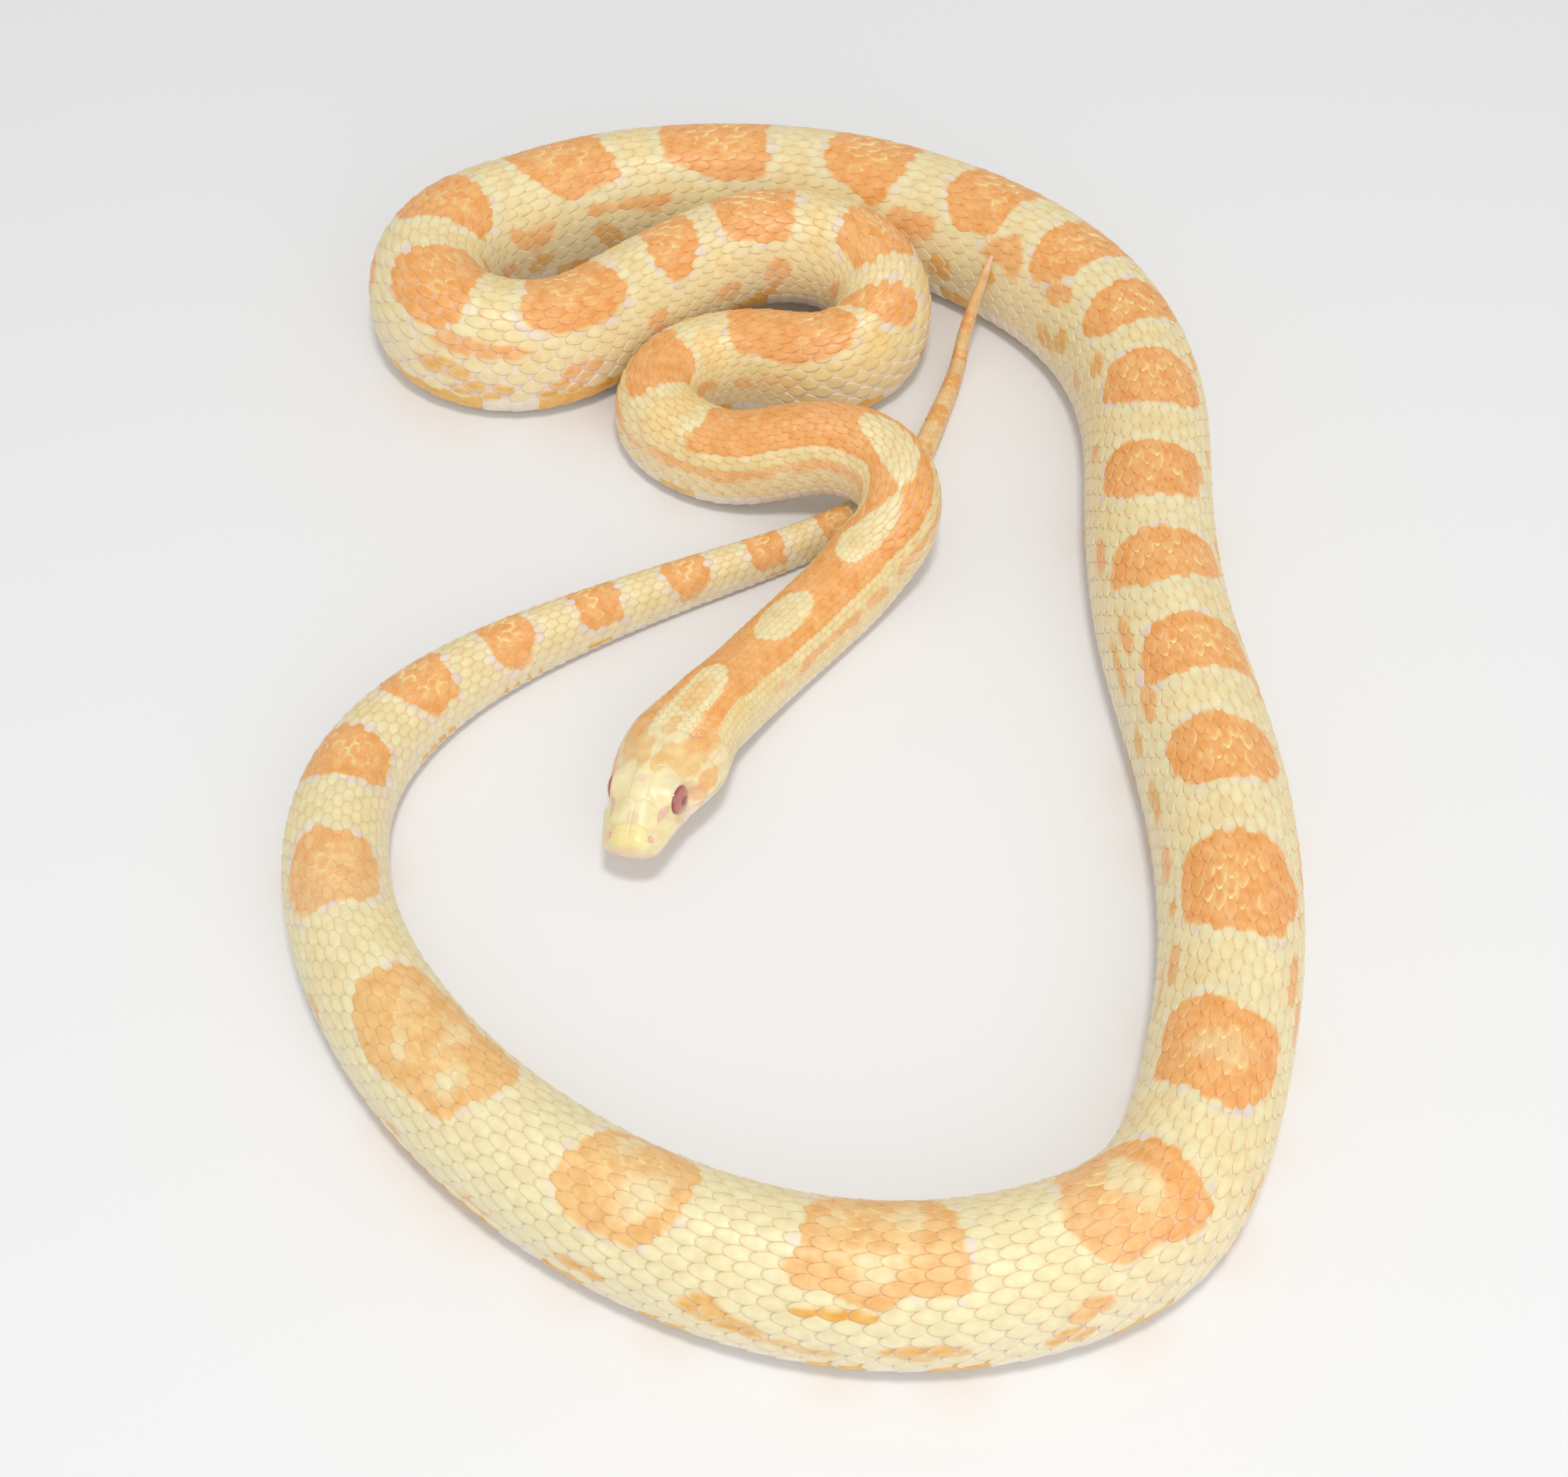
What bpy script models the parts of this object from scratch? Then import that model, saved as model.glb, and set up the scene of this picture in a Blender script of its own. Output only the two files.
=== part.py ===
"""Corn snake at rest on a floor, life size.

Metres, +Z up, belly on z = 0, the origin under the middle of the bounding box.
The route of the body is drawn from the snout to the tip of the tail. The head
is held a little off the floor and looks toward -Y, the neck crosses over the
end of the tail, and the tip of the tail leans on the side of the body.
"""

import math

import bmesh
import bpy
import numpy as np

# All sizes below are millimetres. MM turns them into metres.
MM = 0.001
GAP = 0.3

# The body's section is a loaf: flat under, widest below the middle.
HEIGHT_OVER_HALF_WIDTH = 2.16
WIDEST_LEVEL = 0.42
BACK_ROUNDNESS = 1.0
BELLY_ROUNDNESS = 0.72
BELLY_REACH = 1.06

# Facets around the body and along it.
TRUNK_SIDES = 16
HEAD_SIDES = 20
JAW_SIDES = 10
TAIL_SIDES = 12
RING_SPACING = 8.0
RING_TURN = math.radians(15)

# Route of the underside: x, y, and the lift of the belly over the floor.
HEAD_AND_NECK = (
    (-32.5, -56.5, 8), (-29, -43.5, 8), (-22.6, -29.7, 6.4), (-14.6, -16, 2.8), (-0.5, 3.6, 0.3),
)
NECK_FOLD = (
    (19.3, 27.6, 3.2), (24.1, 34.9, 7.6), (23, 45, 9.5), (14, 53, 9), (0.5, 56.5, 5), (-12.5, 58.5, 1.5),
    (-23, 64, 0.5), (-30, 75.5, 0), (-26, 86, 0), (-17, 91, 0), (-5, 91.5, 0), (8, 89.5, 0),
)
INNER_FOLD = (
    (18, 94.5, 1), (22, 104.5, 4), (18, 114.5, 6.5), (7, 120.5, 8), (-9.5, 120.5, 7.5),
    (-23.5, 115, 5), (-37, 106.5, 2.5), (-52, 96, 0.5),
)
LEFT_BEND = (
    (-66.5, 93.5, 0), (-80, 100, 0), (-85, 115.5, 0), (-79, 128.5, 0), (-67, 137, 0),
)
FAR_STRETCH = (
    (-49, 146, 0), (-19, 151.5, 0), (10.5, 148, 0), (38, 136, 0), (58.5, 120.5, 0),
)
BIG_LOOP = (
    (73, 101.5, 0), (81, 73, 0), (80, 42, 0), (80.5, 3, 0), (86, -37, 0), (86, -77, 0),
    (79, -111, 0), (65.5, -138, 0), (42, -150, 0), (9.5, -152, 0), (-24, -141.5, 0),
    (-53, -122, 0), (-75.5, -96, 0), (-89.5, -64, 0), (-89, -33.5, 0), (-73.5, -8.5, 0),
)
TAIL = (
    (-45.5, 12.5, 0), (-14.5, 29, 0), (15.5, 47, 0), (27.5, 61.5, 0), (35.5, 82, 0),
    (39.5, 95, 0), (41.5, 102.5, 2.5), (43, 105.5, 7.5), (44.5, 107.5, 12.5),
    (46, 109, 17.5), (48.9, 111.7, 28.6),
)
ROUTE = HEAD_AND_NECK + NECK_FOLD + INNER_FOLD + LEFT_BEND + FAR_STRETCH + BIG_LOOP + TAIL

# Middle of the finished outline in the route's x and y; the origin goes there.
OUTLINE_MIDDLE = (-0.1, -0.72)

# Half width of the body against the distance from the snout.
BODY_HALF_WIDTH = (
    (40, 8.8), (50, 8.6), (65, 8.7), (97, 9.1), (140, 9.5), (180, 10), (215, 10.6), (250, 11.6),
    (285, 12), (335, 12.8), (385, 14.7), (430, 14.2), (480, 13.8), (555, 14.6), (645, 14.2),
    (725, 14.5), (815, 13.9), (855, 14.1), (925, 13.5), (985, 12.3), (1020, 11.2),
    (1045, 10.4), (1065, 9.3), (1105, 7), (1145, 5.4), (1185, 4.2), (1205, 3.5), (1225, 2.8),
    (1240, 2.35), (1255, 1.9), (1265, 1.6), (1275, 1.15), (1286, 0.5),
)

# The head: half width, top, underside, level of the greatest width, mouth line,
# how much narrower the crown is than the lips, and the lean of the head to its
# right in degrees. Heights are measured from the level of the chin.
HEAD_LENGTH = 40
HEAD_HALF_WIDTH = (
    (0, 5.3), (4.5, 6.6), (9.5, 8), (14, 9.2), (17, 10.1), (21, 11.3), (25, 11.8), (29, 11.3),
    (33, 10.1), (37, 9.1), (40, 8.8),
)
HEAD_TOP = (
    (0, 7.2), (4, 8.6), (8, 10.2), (12, 11.9), (16, 13.2), (20, 14.2), (26, 15.6),
    (32, 17), (40, 19),
)
HEAD_UNDERSIDE = ((0, 2.2), (4, 1), (8, 0.5), (14, 0.2), (20, 0), (40, 0))
HEAD_WIDEST_LEVEL = ((0, 4.4), (8, 4.2), (16, 4.5), (24, 5.8), (30, 7), (40, 8))
MOUTH_LINE = ((0, 2.9), (6, 2.6), (12, 3), (18, 3.8), (24, 4.6), (27, 5.2))
CROWN_TAPER = ((0, 0.25), (8, 0.38), (15, 0.42), (22, 0.25), (28, 0.1), (36, 0))
HEAD_LEAN = ((0, 7), (20, 6), (32, 3), (46, 0))
LEAN_LEVEL = 8.0
HEAD_ROUNDNESS = 0.8
CHIN_ROUNDNESS = 0.85
SNOUT_ROUND_LENGTH = 3.0
JAW_FRONT = 1.5
JAW_BACK = 27.0

# The eyes: balls let into round sockets, one on each side of the snout.
EYE_RADIUS = 3.1
EYE_STATION = 14.0
EYE_FROM_MIDLINE = 5.4
EYE_HEIGHT = 7.3

# Lengths of the body: name, start and end from the snout, sides.
LENGTHS = (
    ("neck", JAW_BACK, 100, TRUNK_SIDES),
    ("neck_bend", 100, 135, TRUNK_SIDES),
    ("trunk_1", 135, 187, TRUNK_SIDES),
    ("trunk_2", 187, 232, TRUNK_SIDES),
    ("trunk_3", 232, 254, TRUNK_SIDES),
    ("trunk_4", 254, 285, TRUNK_SIDES),
    ("trunk_5", 285, 355, TRUNK_SIDES),
    ("trunk_6", 355, 392, TRUNK_SIDES),
    ("trunk_7", 392, 450, TRUNK_SIDES),
    ("trunk_8", 450, 570, TRUNK_SIDES),
    ("trunk_9", 570, 700, TRUNK_SIDES),
    ("trunk_10", 700, 825, TRUNK_SIDES),
    ("trunk_11", 825, 930, TRUNK_SIDES),
    ("trunk_12", 930, 1050, TRUNK_SIDES),
    ("tail_1", 1050, 1110, TAIL_SIDES),
    ("tail_2", 1110, 1200, TAIL_SIDES),
    ("tail_3", 1200, 1250, TAIL_SIDES),
    ("tail_4", 1250, 1285, TAIL_SIDES),
)

# Colours: the golden skin, its orange saddles, the pale chin, the red eyes.
GOLD = (0.86, 0.66, 0.33)
ORANGE = (0.88, 0.42, 0.14)
CREAM = (0.9, 0.8, 0.66)
EYE_RED = (0.5, 0.06, 0.05)


def spline(table, at):
    """Natural cubic spline through the (position, value) pairs of a table."""
    table = np.array(table, dtype=float)
    knots, values = table[:, 0], table[:, 1:]
    count = len(knots)
    step = np.diff(knots)
    system = np.eye(count)
    right = np.zeros_like(values)
    for i in range(1, count - 1):
        system[i, i - 1] = step[i - 1] / 6
        system[i, i] = (step[i - 1] + step[i]) / 3
        system[i, i + 1] = step[i] / 6
        right[i] = (values[i + 1] - values[i]) / step[i] - (values[i] - values[i - 1]) / step[i - 1]
    bend = np.linalg.solve(system, right)
    at = np.clip(np.atleast_1d(np.asarray(at, dtype=float)), knots[0], knots[-1])
    i = np.clip(np.searchsorted(knots, at) - 1, 0, count - 2)
    a = ((knots[i + 1] - at) / step[i])[:, None]
    b = 1 - a
    lift = ((a ** 3 - a) * bend[i] + (b ** 3 - b) * bend[i + 1]) * (step[i] ** 2 / 6)[:, None]
    return a * values[i] + b * values[i + 1] + lift


def value(table, at):
    """One number read from a table at one station."""
    return float(spline(table, at)[0, 0])


def route_line(samples=4000):
    """Stations in mm from the snout, and the route's points there."""
    points = np.array(ROUTE, dtype=float) - (*OUTLINE_MIDDLE, 0)
    chord = np.linalg.norm(np.diff(points, axis=0), axis=1)
    knots = np.concatenate(([0.0], np.cumsum(chord)))
    line = spline(np.column_stack((knots, points)), np.linspace(0, knots[-1], samples))
    line[:, 2] = np.maximum(line[:, 2], 0)
    run = np.linalg.norm(np.diff(line, axis=0), axis=1)
    return np.concatenate(([0.0], np.cumsum(run))), line


STATIONS, LINE = route_line()


def place(station):
    """Centre of the belly, and the side and up directions, at a station."""
    near = (station - 1, station, station + 1)
    behind, here, ahead = (
        np.array([np.interp(s, STATIONS, LINE[:, k]) for k in range(3)]) for s in near
    )
    along = (ahead - behind) / np.linalg.norm(ahead - behind)
    side = np.cross(along, (0, 0, 1))
    side /= np.linalg.norm(side)
    return here, side, np.cross(side, along)


def turning(start, end, steps=200):
    """Total turn of the route between two stations, in radians."""
    s = np.linspace(start, end, steps)
    xy = np.column_stack([np.interp(s, STATIONS, LINE[:, k]) for k in range(2)])
    heading = np.unwrap(np.arctan2(*np.diff(xy, axis=0).T[::-1]))
    return float(np.abs(np.diff(heading)).sum())


def section(angles, width, top, bottom, level, back, belly, taper=0):
    """Superellipse halves over and under the widest level; angle 0 is the top.

    The upper half narrows toward the top by the taper.
    """
    sine, cosine = np.sin(angles), np.cos(angles)
    power = np.where(cosine > 0, back, belly)
    x = width * np.sign(sine) * np.abs(sine) ** power
    over = level + (top - level) * np.abs(cosine) ** power
    under = level - (level - bottom) * BELLY_REACH * np.abs(cosine) ** power
    x = x * np.where(cosine > 0, 1 - taper * (over - level) / (top - level), 1)
    return np.column_stack((x, np.where(cosine > 0, over, np.maximum(bottom, under))))


def angle_at(height, bottom, level, belly):
    """Angle from the top at which the lower half of a section has a height."""
    share = (level - height) / ((level - bottom) * BELLY_REACH)
    return math.pi - math.acos(min(1.0, share) ** (1 / belly))


def set_in_place(station, outline):
    """A flat outline stood across the route at a station, with the head's lean."""
    centre, side, up = place(station)
    lean = math.radians(value(HEAD_LEAN, station))
    level = LEAN_LEVEL if station < HEAD_LEAN[-1][0] else 0
    x, z = outline[:, :1], outline[:, 1:] - level
    across = x * math.cos(lean) - z * math.sin(lean)
    height = level + z * math.cos(lean) + x * math.sin(lean)
    return centre + across * side + height * up


def body_ring(station, sides):
    """Outline of the neck, the trunk or the tail, its flat belly on the route."""
    taper = value(CROWN_TAPER, station)
    if station < HEAD_LENGTH:
        width = value(HEAD_HALF_WIDTH, station)
        top = value(HEAD_TOP, station)
        level = value(HEAD_WIDEST_LEVEL, station)
    else:
        width = value(BODY_HALF_WIDTH, station)
        top = HEIGHT_OVER_HALF_WIDTH * width
        level = WIDEST_LEVEL * top
    edge = angle_at(0, 0, level, BELLY_ROUNDNESS)
    angles = np.linspace(-edge, edge, sides)
    outline = section(angles, width, top, 0, level, BACK_ROUNDNESS, BELLY_ROUNDNESS, taper)
    return set_in_place(station, outline)


def rounding(distance, length):
    """Share of the full size at a distance behind a blunt rounded front."""
    rest = 1 - min(distance / length, 1)
    return (1 - rest ** 2.3) ** (1 / 2.3)


def head_sizes(station):
    """Half width, top, underside, widest level and mouth line of the head."""
    tables = (HEAD_HALF_WIDTH, HEAD_TOP, HEAD_UNDERSIDE, HEAD_WIDEST_LEVEL, MOUTH_LINE)
    return [value(table, station) for table in tables]


def head_ring(station):
    """Outline of the head over the mouth line, with a flat bottom."""
    width, top, bottom, level, mouth = head_sizes(station)
    edge = angle_at(mouth + GAP / 2, bottom, level, CHIN_ROUNDNESS)
    angles = np.linspace(-edge, edge, HEAD_SIDES)
    taper = value(CROWN_TAPER, station)
    outline = section(angles, width, top, bottom, level, HEAD_ROUNDNESS, CHIN_ROUNDNESS, taper)
    outline[:, 0] *= rounding(station, SNOUT_ROUND_LENGTH)
    outline[:, 1] = level + (outline[:, 1] - level) * rounding(station, SNOUT_ROUND_LENGTH * 0.75)
    return set_in_place(station, outline)


def jaw_ring(station):
    """Outline of the lower jaw, with a flat top just under the mouth line."""
    width, top, bottom, level, mouth = head_sizes(station)
    lip = mouth - GAP / 2
    edge = angle_at(lip, bottom, level, CHIN_ROUNDNESS)
    angles = np.linspace(edge, 2 * math.pi - edge, JAW_SIDES)
    outline = section(angles, width, top, bottom, level, HEAD_ROUNDNESS, CHIN_ROUNDNESS)
    share = rounding(station - JAW_FRONT + 0.1, SNOUT_ROUND_LENGTH)
    outline[:, 0] *= share
    outline[:, 1] = lip + (outline[:, 1] - lip) * share
    return set_in_place(station, outline)


def finish(name, colour, roughness):
    """Plain painted material of one piece."""
    material = bpy.data.materials.new(name + "_finish")
    material.use_nodes = True
    surface = material.node_tree.nodes["Principled BSDF"]
    surface.inputs["Base Color"].default_value = (*colour, 1)
    surface.inputs["Roughness"].default_value = roughness
    surface.inputs["Metallic"].default_value = 0
    return material


def add_object(name, bm, origin, material, smooth_angle=math.radians(50)):
    """Object with its own mesh and material, its origin at a point in mm."""
    bmesh.ops.recalc_face_normals(bm, faces=bm.faces)
    mesh = bpy.data.meshes.new(name)
    bm.to_mesh(mesh)
    bm.free()
    mesh.materials.append(material)
    mesh.shade_smooth()
    mesh.set_sharp_from_angle(angle=smooth_angle)
    obj = bpy.data.objects.new(name, mesh)
    obj.location = [float(c) * MM for c in origin]
    bpy.context.scene.collection.objects.link(obj)
    return obj


def loft(name, rings, material):
    """Closed solid through the rings, with a flat face at each end."""
    origin = rings[0].mean(axis=0)
    bm = bmesh.new()
    loops = []
    for ring in rings:
        loops.append([bm.verts.new([float(c) for c in point]) for point in (ring - origin) * MM])
    count = len(loops[0])
    for front, back in zip(loops, loops[1:]):
        for k in range(count):
            j = (k + 1) % count
            bm.faces.new((front[k], front[j], back[j], back[k]))
    bm.faces.new(loops[0][::-1])
    bm.faces.new(loops[-1])
    return add_object(name, bm, origin, material)


def make_body():
    """The neck, the trunk and the tail, one solid for each length."""
    for number, (name, start, end, sides) in enumerate(LENGTHS):
        front = start + GAP / 2
        back = end - GAP / 2
        rings = math.ceil((back - front) / RING_SPACING + turning(front, back) / RING_TURN) + 1
        stations = np.linspace(front, back, rings)
        colour = ORANGE if number % 2 else GOLD
        loft(name, [body_ring(s, sides) for s in stations], finish(name, colour, 0.45))


def make_head():
    """The head over the mouth line, with a socket for each eye."""
    stations = (0.06, 0.4, 1.1, 2.2, 3.8, 6, 8.5, 11, 13.5, 16, 18.5, 21, 24, JAW_BACK - GAP / 2)
    head = loft("head", [head_ring(s) for s in stations], finish("head", GOLD, 0.4))
    for side in ("left", "right"):
        socket = add_ball("socket_" + side, eye_centre(side), EYE_RADIUS + GAP, None)
        socket.hide_render = True
        socket.display_type = "WIRE"
        cut = head.modifiers.new("socket_" + side, "BOOLEAN")
        cut.operation = "DIFFERENCE"
        cut.solver = "EXACT"
        cut.object = socket


def make_lower_jaw():
    """The lower jaw, closed against the head."""
    stations = (JAW_FRONT, 2, 3, 4.5, 7, 10.5, 14.5, 18.5, 22.5, JAW_BACK - GAP / 2)
    loft("lower_jaw", [jaw_ring(s) for s in stations], finish("lower_jaw", CREAM, 0.4))


def eye_centre(side):
    """Middle of an eye, on the animal's own left or right."""
    offset = EYE_FROM_MIDLINE if side == "left" else -EYE_FROM_MIDLINE
    return set_in_place(EYE_STATION, np.array([[offset, EYE_HEIGHT]]))[0]


def add_ball(name, centre, radius, material):
    """Ball with its origin at its centre."""
    bm = bmesh.new()
    bmesh.ops.create_uvsphere(bm, u_segments=14, v_segments=10, radius=radius * MM)
    return add_object(name, bm, centre, material)


def make_eyes():
    """Both eyes, each a ball in its socket."""
    for side in ("left", "right"):
        name = "eye_" + side
        add_ball(name, eye_centre(side), EYE_RADIUS, finish(name, EYE_RED, 0.08))


for leftover in list(bpy.data.objects):
    bpy.data.objects.remove(leftover)

make_head()
make_lower_jaw()
make_eyes()
make_body()
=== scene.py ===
# %% [markdown]
# A corn snake at rest, life size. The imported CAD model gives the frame: every
# shape below is worked out in the same place, so a piece needs no fitting.
# Lengths are written in millimetres and turned into metres when a mesh is made.

import bpy
import numpy as np
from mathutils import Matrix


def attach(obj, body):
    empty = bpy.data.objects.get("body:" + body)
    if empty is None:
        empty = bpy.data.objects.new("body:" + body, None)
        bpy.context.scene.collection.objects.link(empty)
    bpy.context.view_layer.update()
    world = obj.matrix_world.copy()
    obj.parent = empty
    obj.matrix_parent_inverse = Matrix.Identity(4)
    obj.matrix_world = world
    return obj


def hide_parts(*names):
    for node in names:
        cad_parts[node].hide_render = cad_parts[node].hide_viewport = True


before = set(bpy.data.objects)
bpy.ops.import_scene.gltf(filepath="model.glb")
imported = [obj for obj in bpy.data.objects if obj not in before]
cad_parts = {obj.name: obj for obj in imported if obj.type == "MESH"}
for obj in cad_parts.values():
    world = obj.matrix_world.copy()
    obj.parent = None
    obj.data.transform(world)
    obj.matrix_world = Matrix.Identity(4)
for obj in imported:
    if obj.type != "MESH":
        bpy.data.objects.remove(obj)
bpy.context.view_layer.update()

MM = 0.001

# %% [markdown]
# The camera looks down at the animal from the front at fifty degrees, from
# about half a metre away. A camera in Blender looks along its own -Z, so a tilt
# of ninety degrees less the pitch points it forwards and down. The focal length
# is known in pixels of the picture, and the sensor's width turns it into mm.

# %% Camera
CAMERA_PLACE = (-0.00085, -0.39163, 0.449)
CAMERA_PITCH = np.radians(50.0)
FOCAL_PIXELS = 3500.0
FRAME_PIXELS = 1988.0
SENSOR_MM = 36.0

camera_data = bpy.data.cameras.new("camera")
camera_data.sensor_width = SENSOR_MM
camera_data.lens = SENSOR_MM * FOCAL_PIXELS / FRAME_PIXELS
camera_data.clip_start = 0.01
camera = bpy.data.objects.new("camera", camera_data)
camera.location = CAMERA_PLACE
camera.rotation_euler = (np.pi / 2 - CAMERA_PITCH, 0, 0)
bpy.context.scene.collection.objects.link(camera)
bpy.context.scene.camera = camera
print("lens", round(camera_data.lens, 2), "mm")

# %% [markdown]
# The animal lies on a sheet of pale paper. A small square light above the
# camera draws the thin shadow along the floor and the gleam on each scale, a
# broad one in front fills the near side, and a white sky lights all the rest.
# The Standard view keeps the colours as they are mixed, with no film curve.

# %% Floor and lights
FLOOR_GREY = (0.86, 0.86, 0.86, 1)
FLOOR_REACH = 3.0
FLOOR_DROP = 0.0003
SKY_STRENGTH = 0.6
LAMPS = (
    # name, place and aim in metres, width in metres, watts
    ("key", (0.04, -0.40, 1.15), (0, -0.05, 0), 0.16, 5.0),
    ("fill", (0.3, -0.9, 0.6), (0, -0.15, 0), 0.9, 2.6),
)


def add_lamp(name, place, aim, width, watts):
    """A square soft light at place, turned so that its -Z points at aim: a
    tilt of atan2(flat distance, drop), then a turn about the vertical."""
    data = bpy.data.lights.new(name, "AREA")
    data.shape = "SQUARE"
    data.size = width
    data.energy = watts
    lamp = bpy.data.objects.new(name, data)
    lamp.location = place
    way = np.array(aim, dtype=float) - np.array(place, dtype=float)
    tilt = np.arctan2(np.hypot(way[0], way[1]), -way[2])
    lamp.rotation_euler = (tilt, 0, np.arctan2(-way[0], way[1]))
    bpy.context.scene.collection.objects.link(lamp)


def add_floor():
    """A square of pale paper just under the belly."""
    sides = ((-1, -1), (1, -1), (1, 1), (-1, 1))
    corners = [(x * FLOOR_REACH, y * FLOOR_REACH, 0) for x, y in sides]
    mesh = bpy.data.meshes.new("floor")
    mesh.from_pydata(corners, [], [(0, 1, 2, 3)])
    paper = bpy.data.materials.new("pale_floor")
    paper.use_nodes = True
    shader = paper.node_tree.nodes["Principled BSDF"]
    shader.inputs["Base Color"].default_value = FLOOR_GREY
    shader.inputs["Roughness"].default_value = 0.9
    mesh.materials.append(paper)
    floor = bpy.data.objects.new("floor", mesh)
    floor.location.z = -FLOOR_DROP
    bpy.context.scene.collection.objects.link(floor)
    return floor


floor = add_floor()
for lamp in LAMPS:
    add_lamp(*lamp)
world = bpy.data.worlds.new("studio")
world.use_nodes = True
sky = world.node_tree.nodes["Background"]
sky.inputs["Color"].default_value = (1, 1, 1, 1)
sky.inputs["Strength"].default_value = SKY_STRENGTH
bpy.context.scene.world = world
bpy.context.scene.view_settings.view_transform = "Standard"
print("floor and", len(bpy.data.lights), "lights")

# %% [markdown]
# A snake is one long tube, so two numbers name any place on it: the station,
# which is the distance from the snout along the spine, and the share of the way
# round from the middle of the back (0) to the middle of the belly (1, or -1 on
# the animal's right). The spine's route is kept as points read from the pose:
# x, y, and the height of the underside over the floor.

# %% The route
HEAD_AND_NECK = (
    (-32.5, -56.5, 8), (-29, -43.5, 8), (-22.6, -29.7, 6.4), (-14.6, -16, 2.8),
    (-0.5, 3.6, 0.3), (19.3, 27.6, 3.2), (24.1, 34.9, 7.6), (23, 45, 9.5), (14, 53, 9),
    (0.5, 56.5, 5), (-12.5, 58.5, 1.5),
)
FOLDS = (
    (-23, 64, 0.5), (-30, 75.5, 0), (-26, 86, 0), (-17, 91, 0), (-5, 91.5, 0), (8, 89.5, 0),
    (18, 94.5, 1), (22, 104.5, 4), (18, 114.5, 6.5), (7, 120.5, 8), (-9.5, 120.5, 7.5),
    (-23.5, 115, 5), (-37, 106.5, 2.5), (-52, 96, 0.5),
    (-66.5, 93.5, 0), (-80, 100, 0), (-85, 115.5, 0), (-79, 128.5, 0), (-67, 137, 0),
)
FAR_SIDE_AND_LOOP = (
    (-49, 146, 0), (-19, 151.5, 0), (10.5, 148, 0), (38, 136, 0), (58.5, 120.5, 0),
    (73, 101.5, 0), (81, 73, 0), (80, 42, 0), (80.5, 3, 0), (86, -37, 0), (86, -77, 0),
    (79, -111, 0), (65.5, -138, 0), (42, -150, 0), (9.5, -152, 0), (-24, -141.5, 0),
    (-53, -122, 0), (-75.5, -96, 0), (-89.5, -64, 0), (-89, -33.5, 0), (-73.5, -8.5, 0),
)
TAIL = (
    (-45.5, 12.5, 0), (-14.5, 29, 0), (15.5, 47, 0), (27.5, 61.5, 0), (35.5, 82, 0),
    (39.5, 95, 0), (41.5, 102.5, 2.5), (43, 105.5, 7.5), (44.5, 107.5, 12.5),
    (46, 109, 17.5), (48.9, 111.7, 28.6),
)
ROUTE = HEAD_AND_NECK + FOLDS + FAR_SIDE_AND_LOOP + TAIL
OUTLINE_MIDDLE = (-0.1, -0.72)
LENGTH = 1285.0
NECK = 40.0
print(len(ROUTE), "points on the route")

# %% [markdown]
# Everything that changes along the body is read from a short table. A natural
# cubic spline goes through the points of the route, because it bends as evenly
# as a real spine does. Straight lines do for the sizes of scales, and a smooth
# step blends one thing into another.

# %% Curves
def spline(table, at):
    """Natural cubic through (position, value...) rows: y = a y0 + b y1 +
    ((a^3 - a) m0 + (b^3 - b) m1) h^2 / 6, with m the second derivatives."""
    table = np.array(table, dtype=float)
    at = np.atleast_1d(np.asarray(at, dtype=float))
    knots, values = table[:, 0], table[:, 1:]
    count, step = len(knots), np.diff(table[:, 0])
    system = np.eye(count)
    right = np.zeros((count, values.shape[1]))
    inner = np.arange(1, count - 1)
    system[inner, inner - 1] = step[:-1]
    system[inner, inner] = 2 * (step[:-1] + step[1:])
    system[inner, inner + 1] = step[1:]
    right[1:-1] = 6 * np.diff(np.diff(values, axis=0) / step[:, None], axis=0)
    bend = np.linalg.solve(system, right)
    i = np.clip(np.searchsorted(knots, at) - 1, 0, count - 2)
    a = ((knots[i + 1] - at) / step[i])[:, None]
    b = 1 - a
    lift = ((a ** 3 - a) * bend[i] + (b ** 3 - b) * bend[i + 1]) * (step[i] ** 2 / 6)[:, None]
    return a * values[i] + b * values[i + 1] + lift


def held(table, at):
    """One column of a table at many positions, held still beyond its ends."""
    return spline(table, np.clip(at, table[0][0], table[-1][0]))[:, 0]


def ramp(table, at):
    """Straight lines through the (position, value) pairs of a table."""
    table = np.array(table, dtype=float)
    return np.interp(at, table[:, 0], table[:, 1])


def ease(x, start, end):
    """Smooth step 3t^2 - 2t^3 from 0 at start to 1 at end."""
    t = np.clip((x - start) / (end - start), 0, 1)
    return t * t * (3 - 2 * t)


def within(x, span):
    """1 between the two middle values of a span of four, eased to 0 at its
    ends: the smooth step up times one less the smooth step down."""
    return ease(x, *span[:2]) * (1 - ease(x, *span[2:]))


def run_along(points):
    """Distance along a line of points: the running sum of |P(k+1) - P(k)|."""
    return np.r_[0, np.cumsum(np.linalg.norm(np.diff(points, axis=0), axis=1))]


def run_route(samples=4000):
    """Distance from the snout, and the points of the route, in mm."""
    points = np.array(ROUTE, dtype=float) - (*OUTLINE_MIDDLE, 0)
    knots = run_along(points)
    line = spline(np.column_stack((knots, points)), np.linspace(0, knots[-1], samples))
    line[:, 2] = np.maximum(line[:, 2], 0)
    return run_along(line), line


RUN, LINE = run_route()
print("length of the route", round(RUN[-1], 1), "mm")

# %% [markdown]
# The cross-section is a loaf: flat under, widest below the middle, round on
# top. Width, height and roundness change along the body, most of all on the
# head, so they are read from tables of (station, value), in mm.

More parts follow.
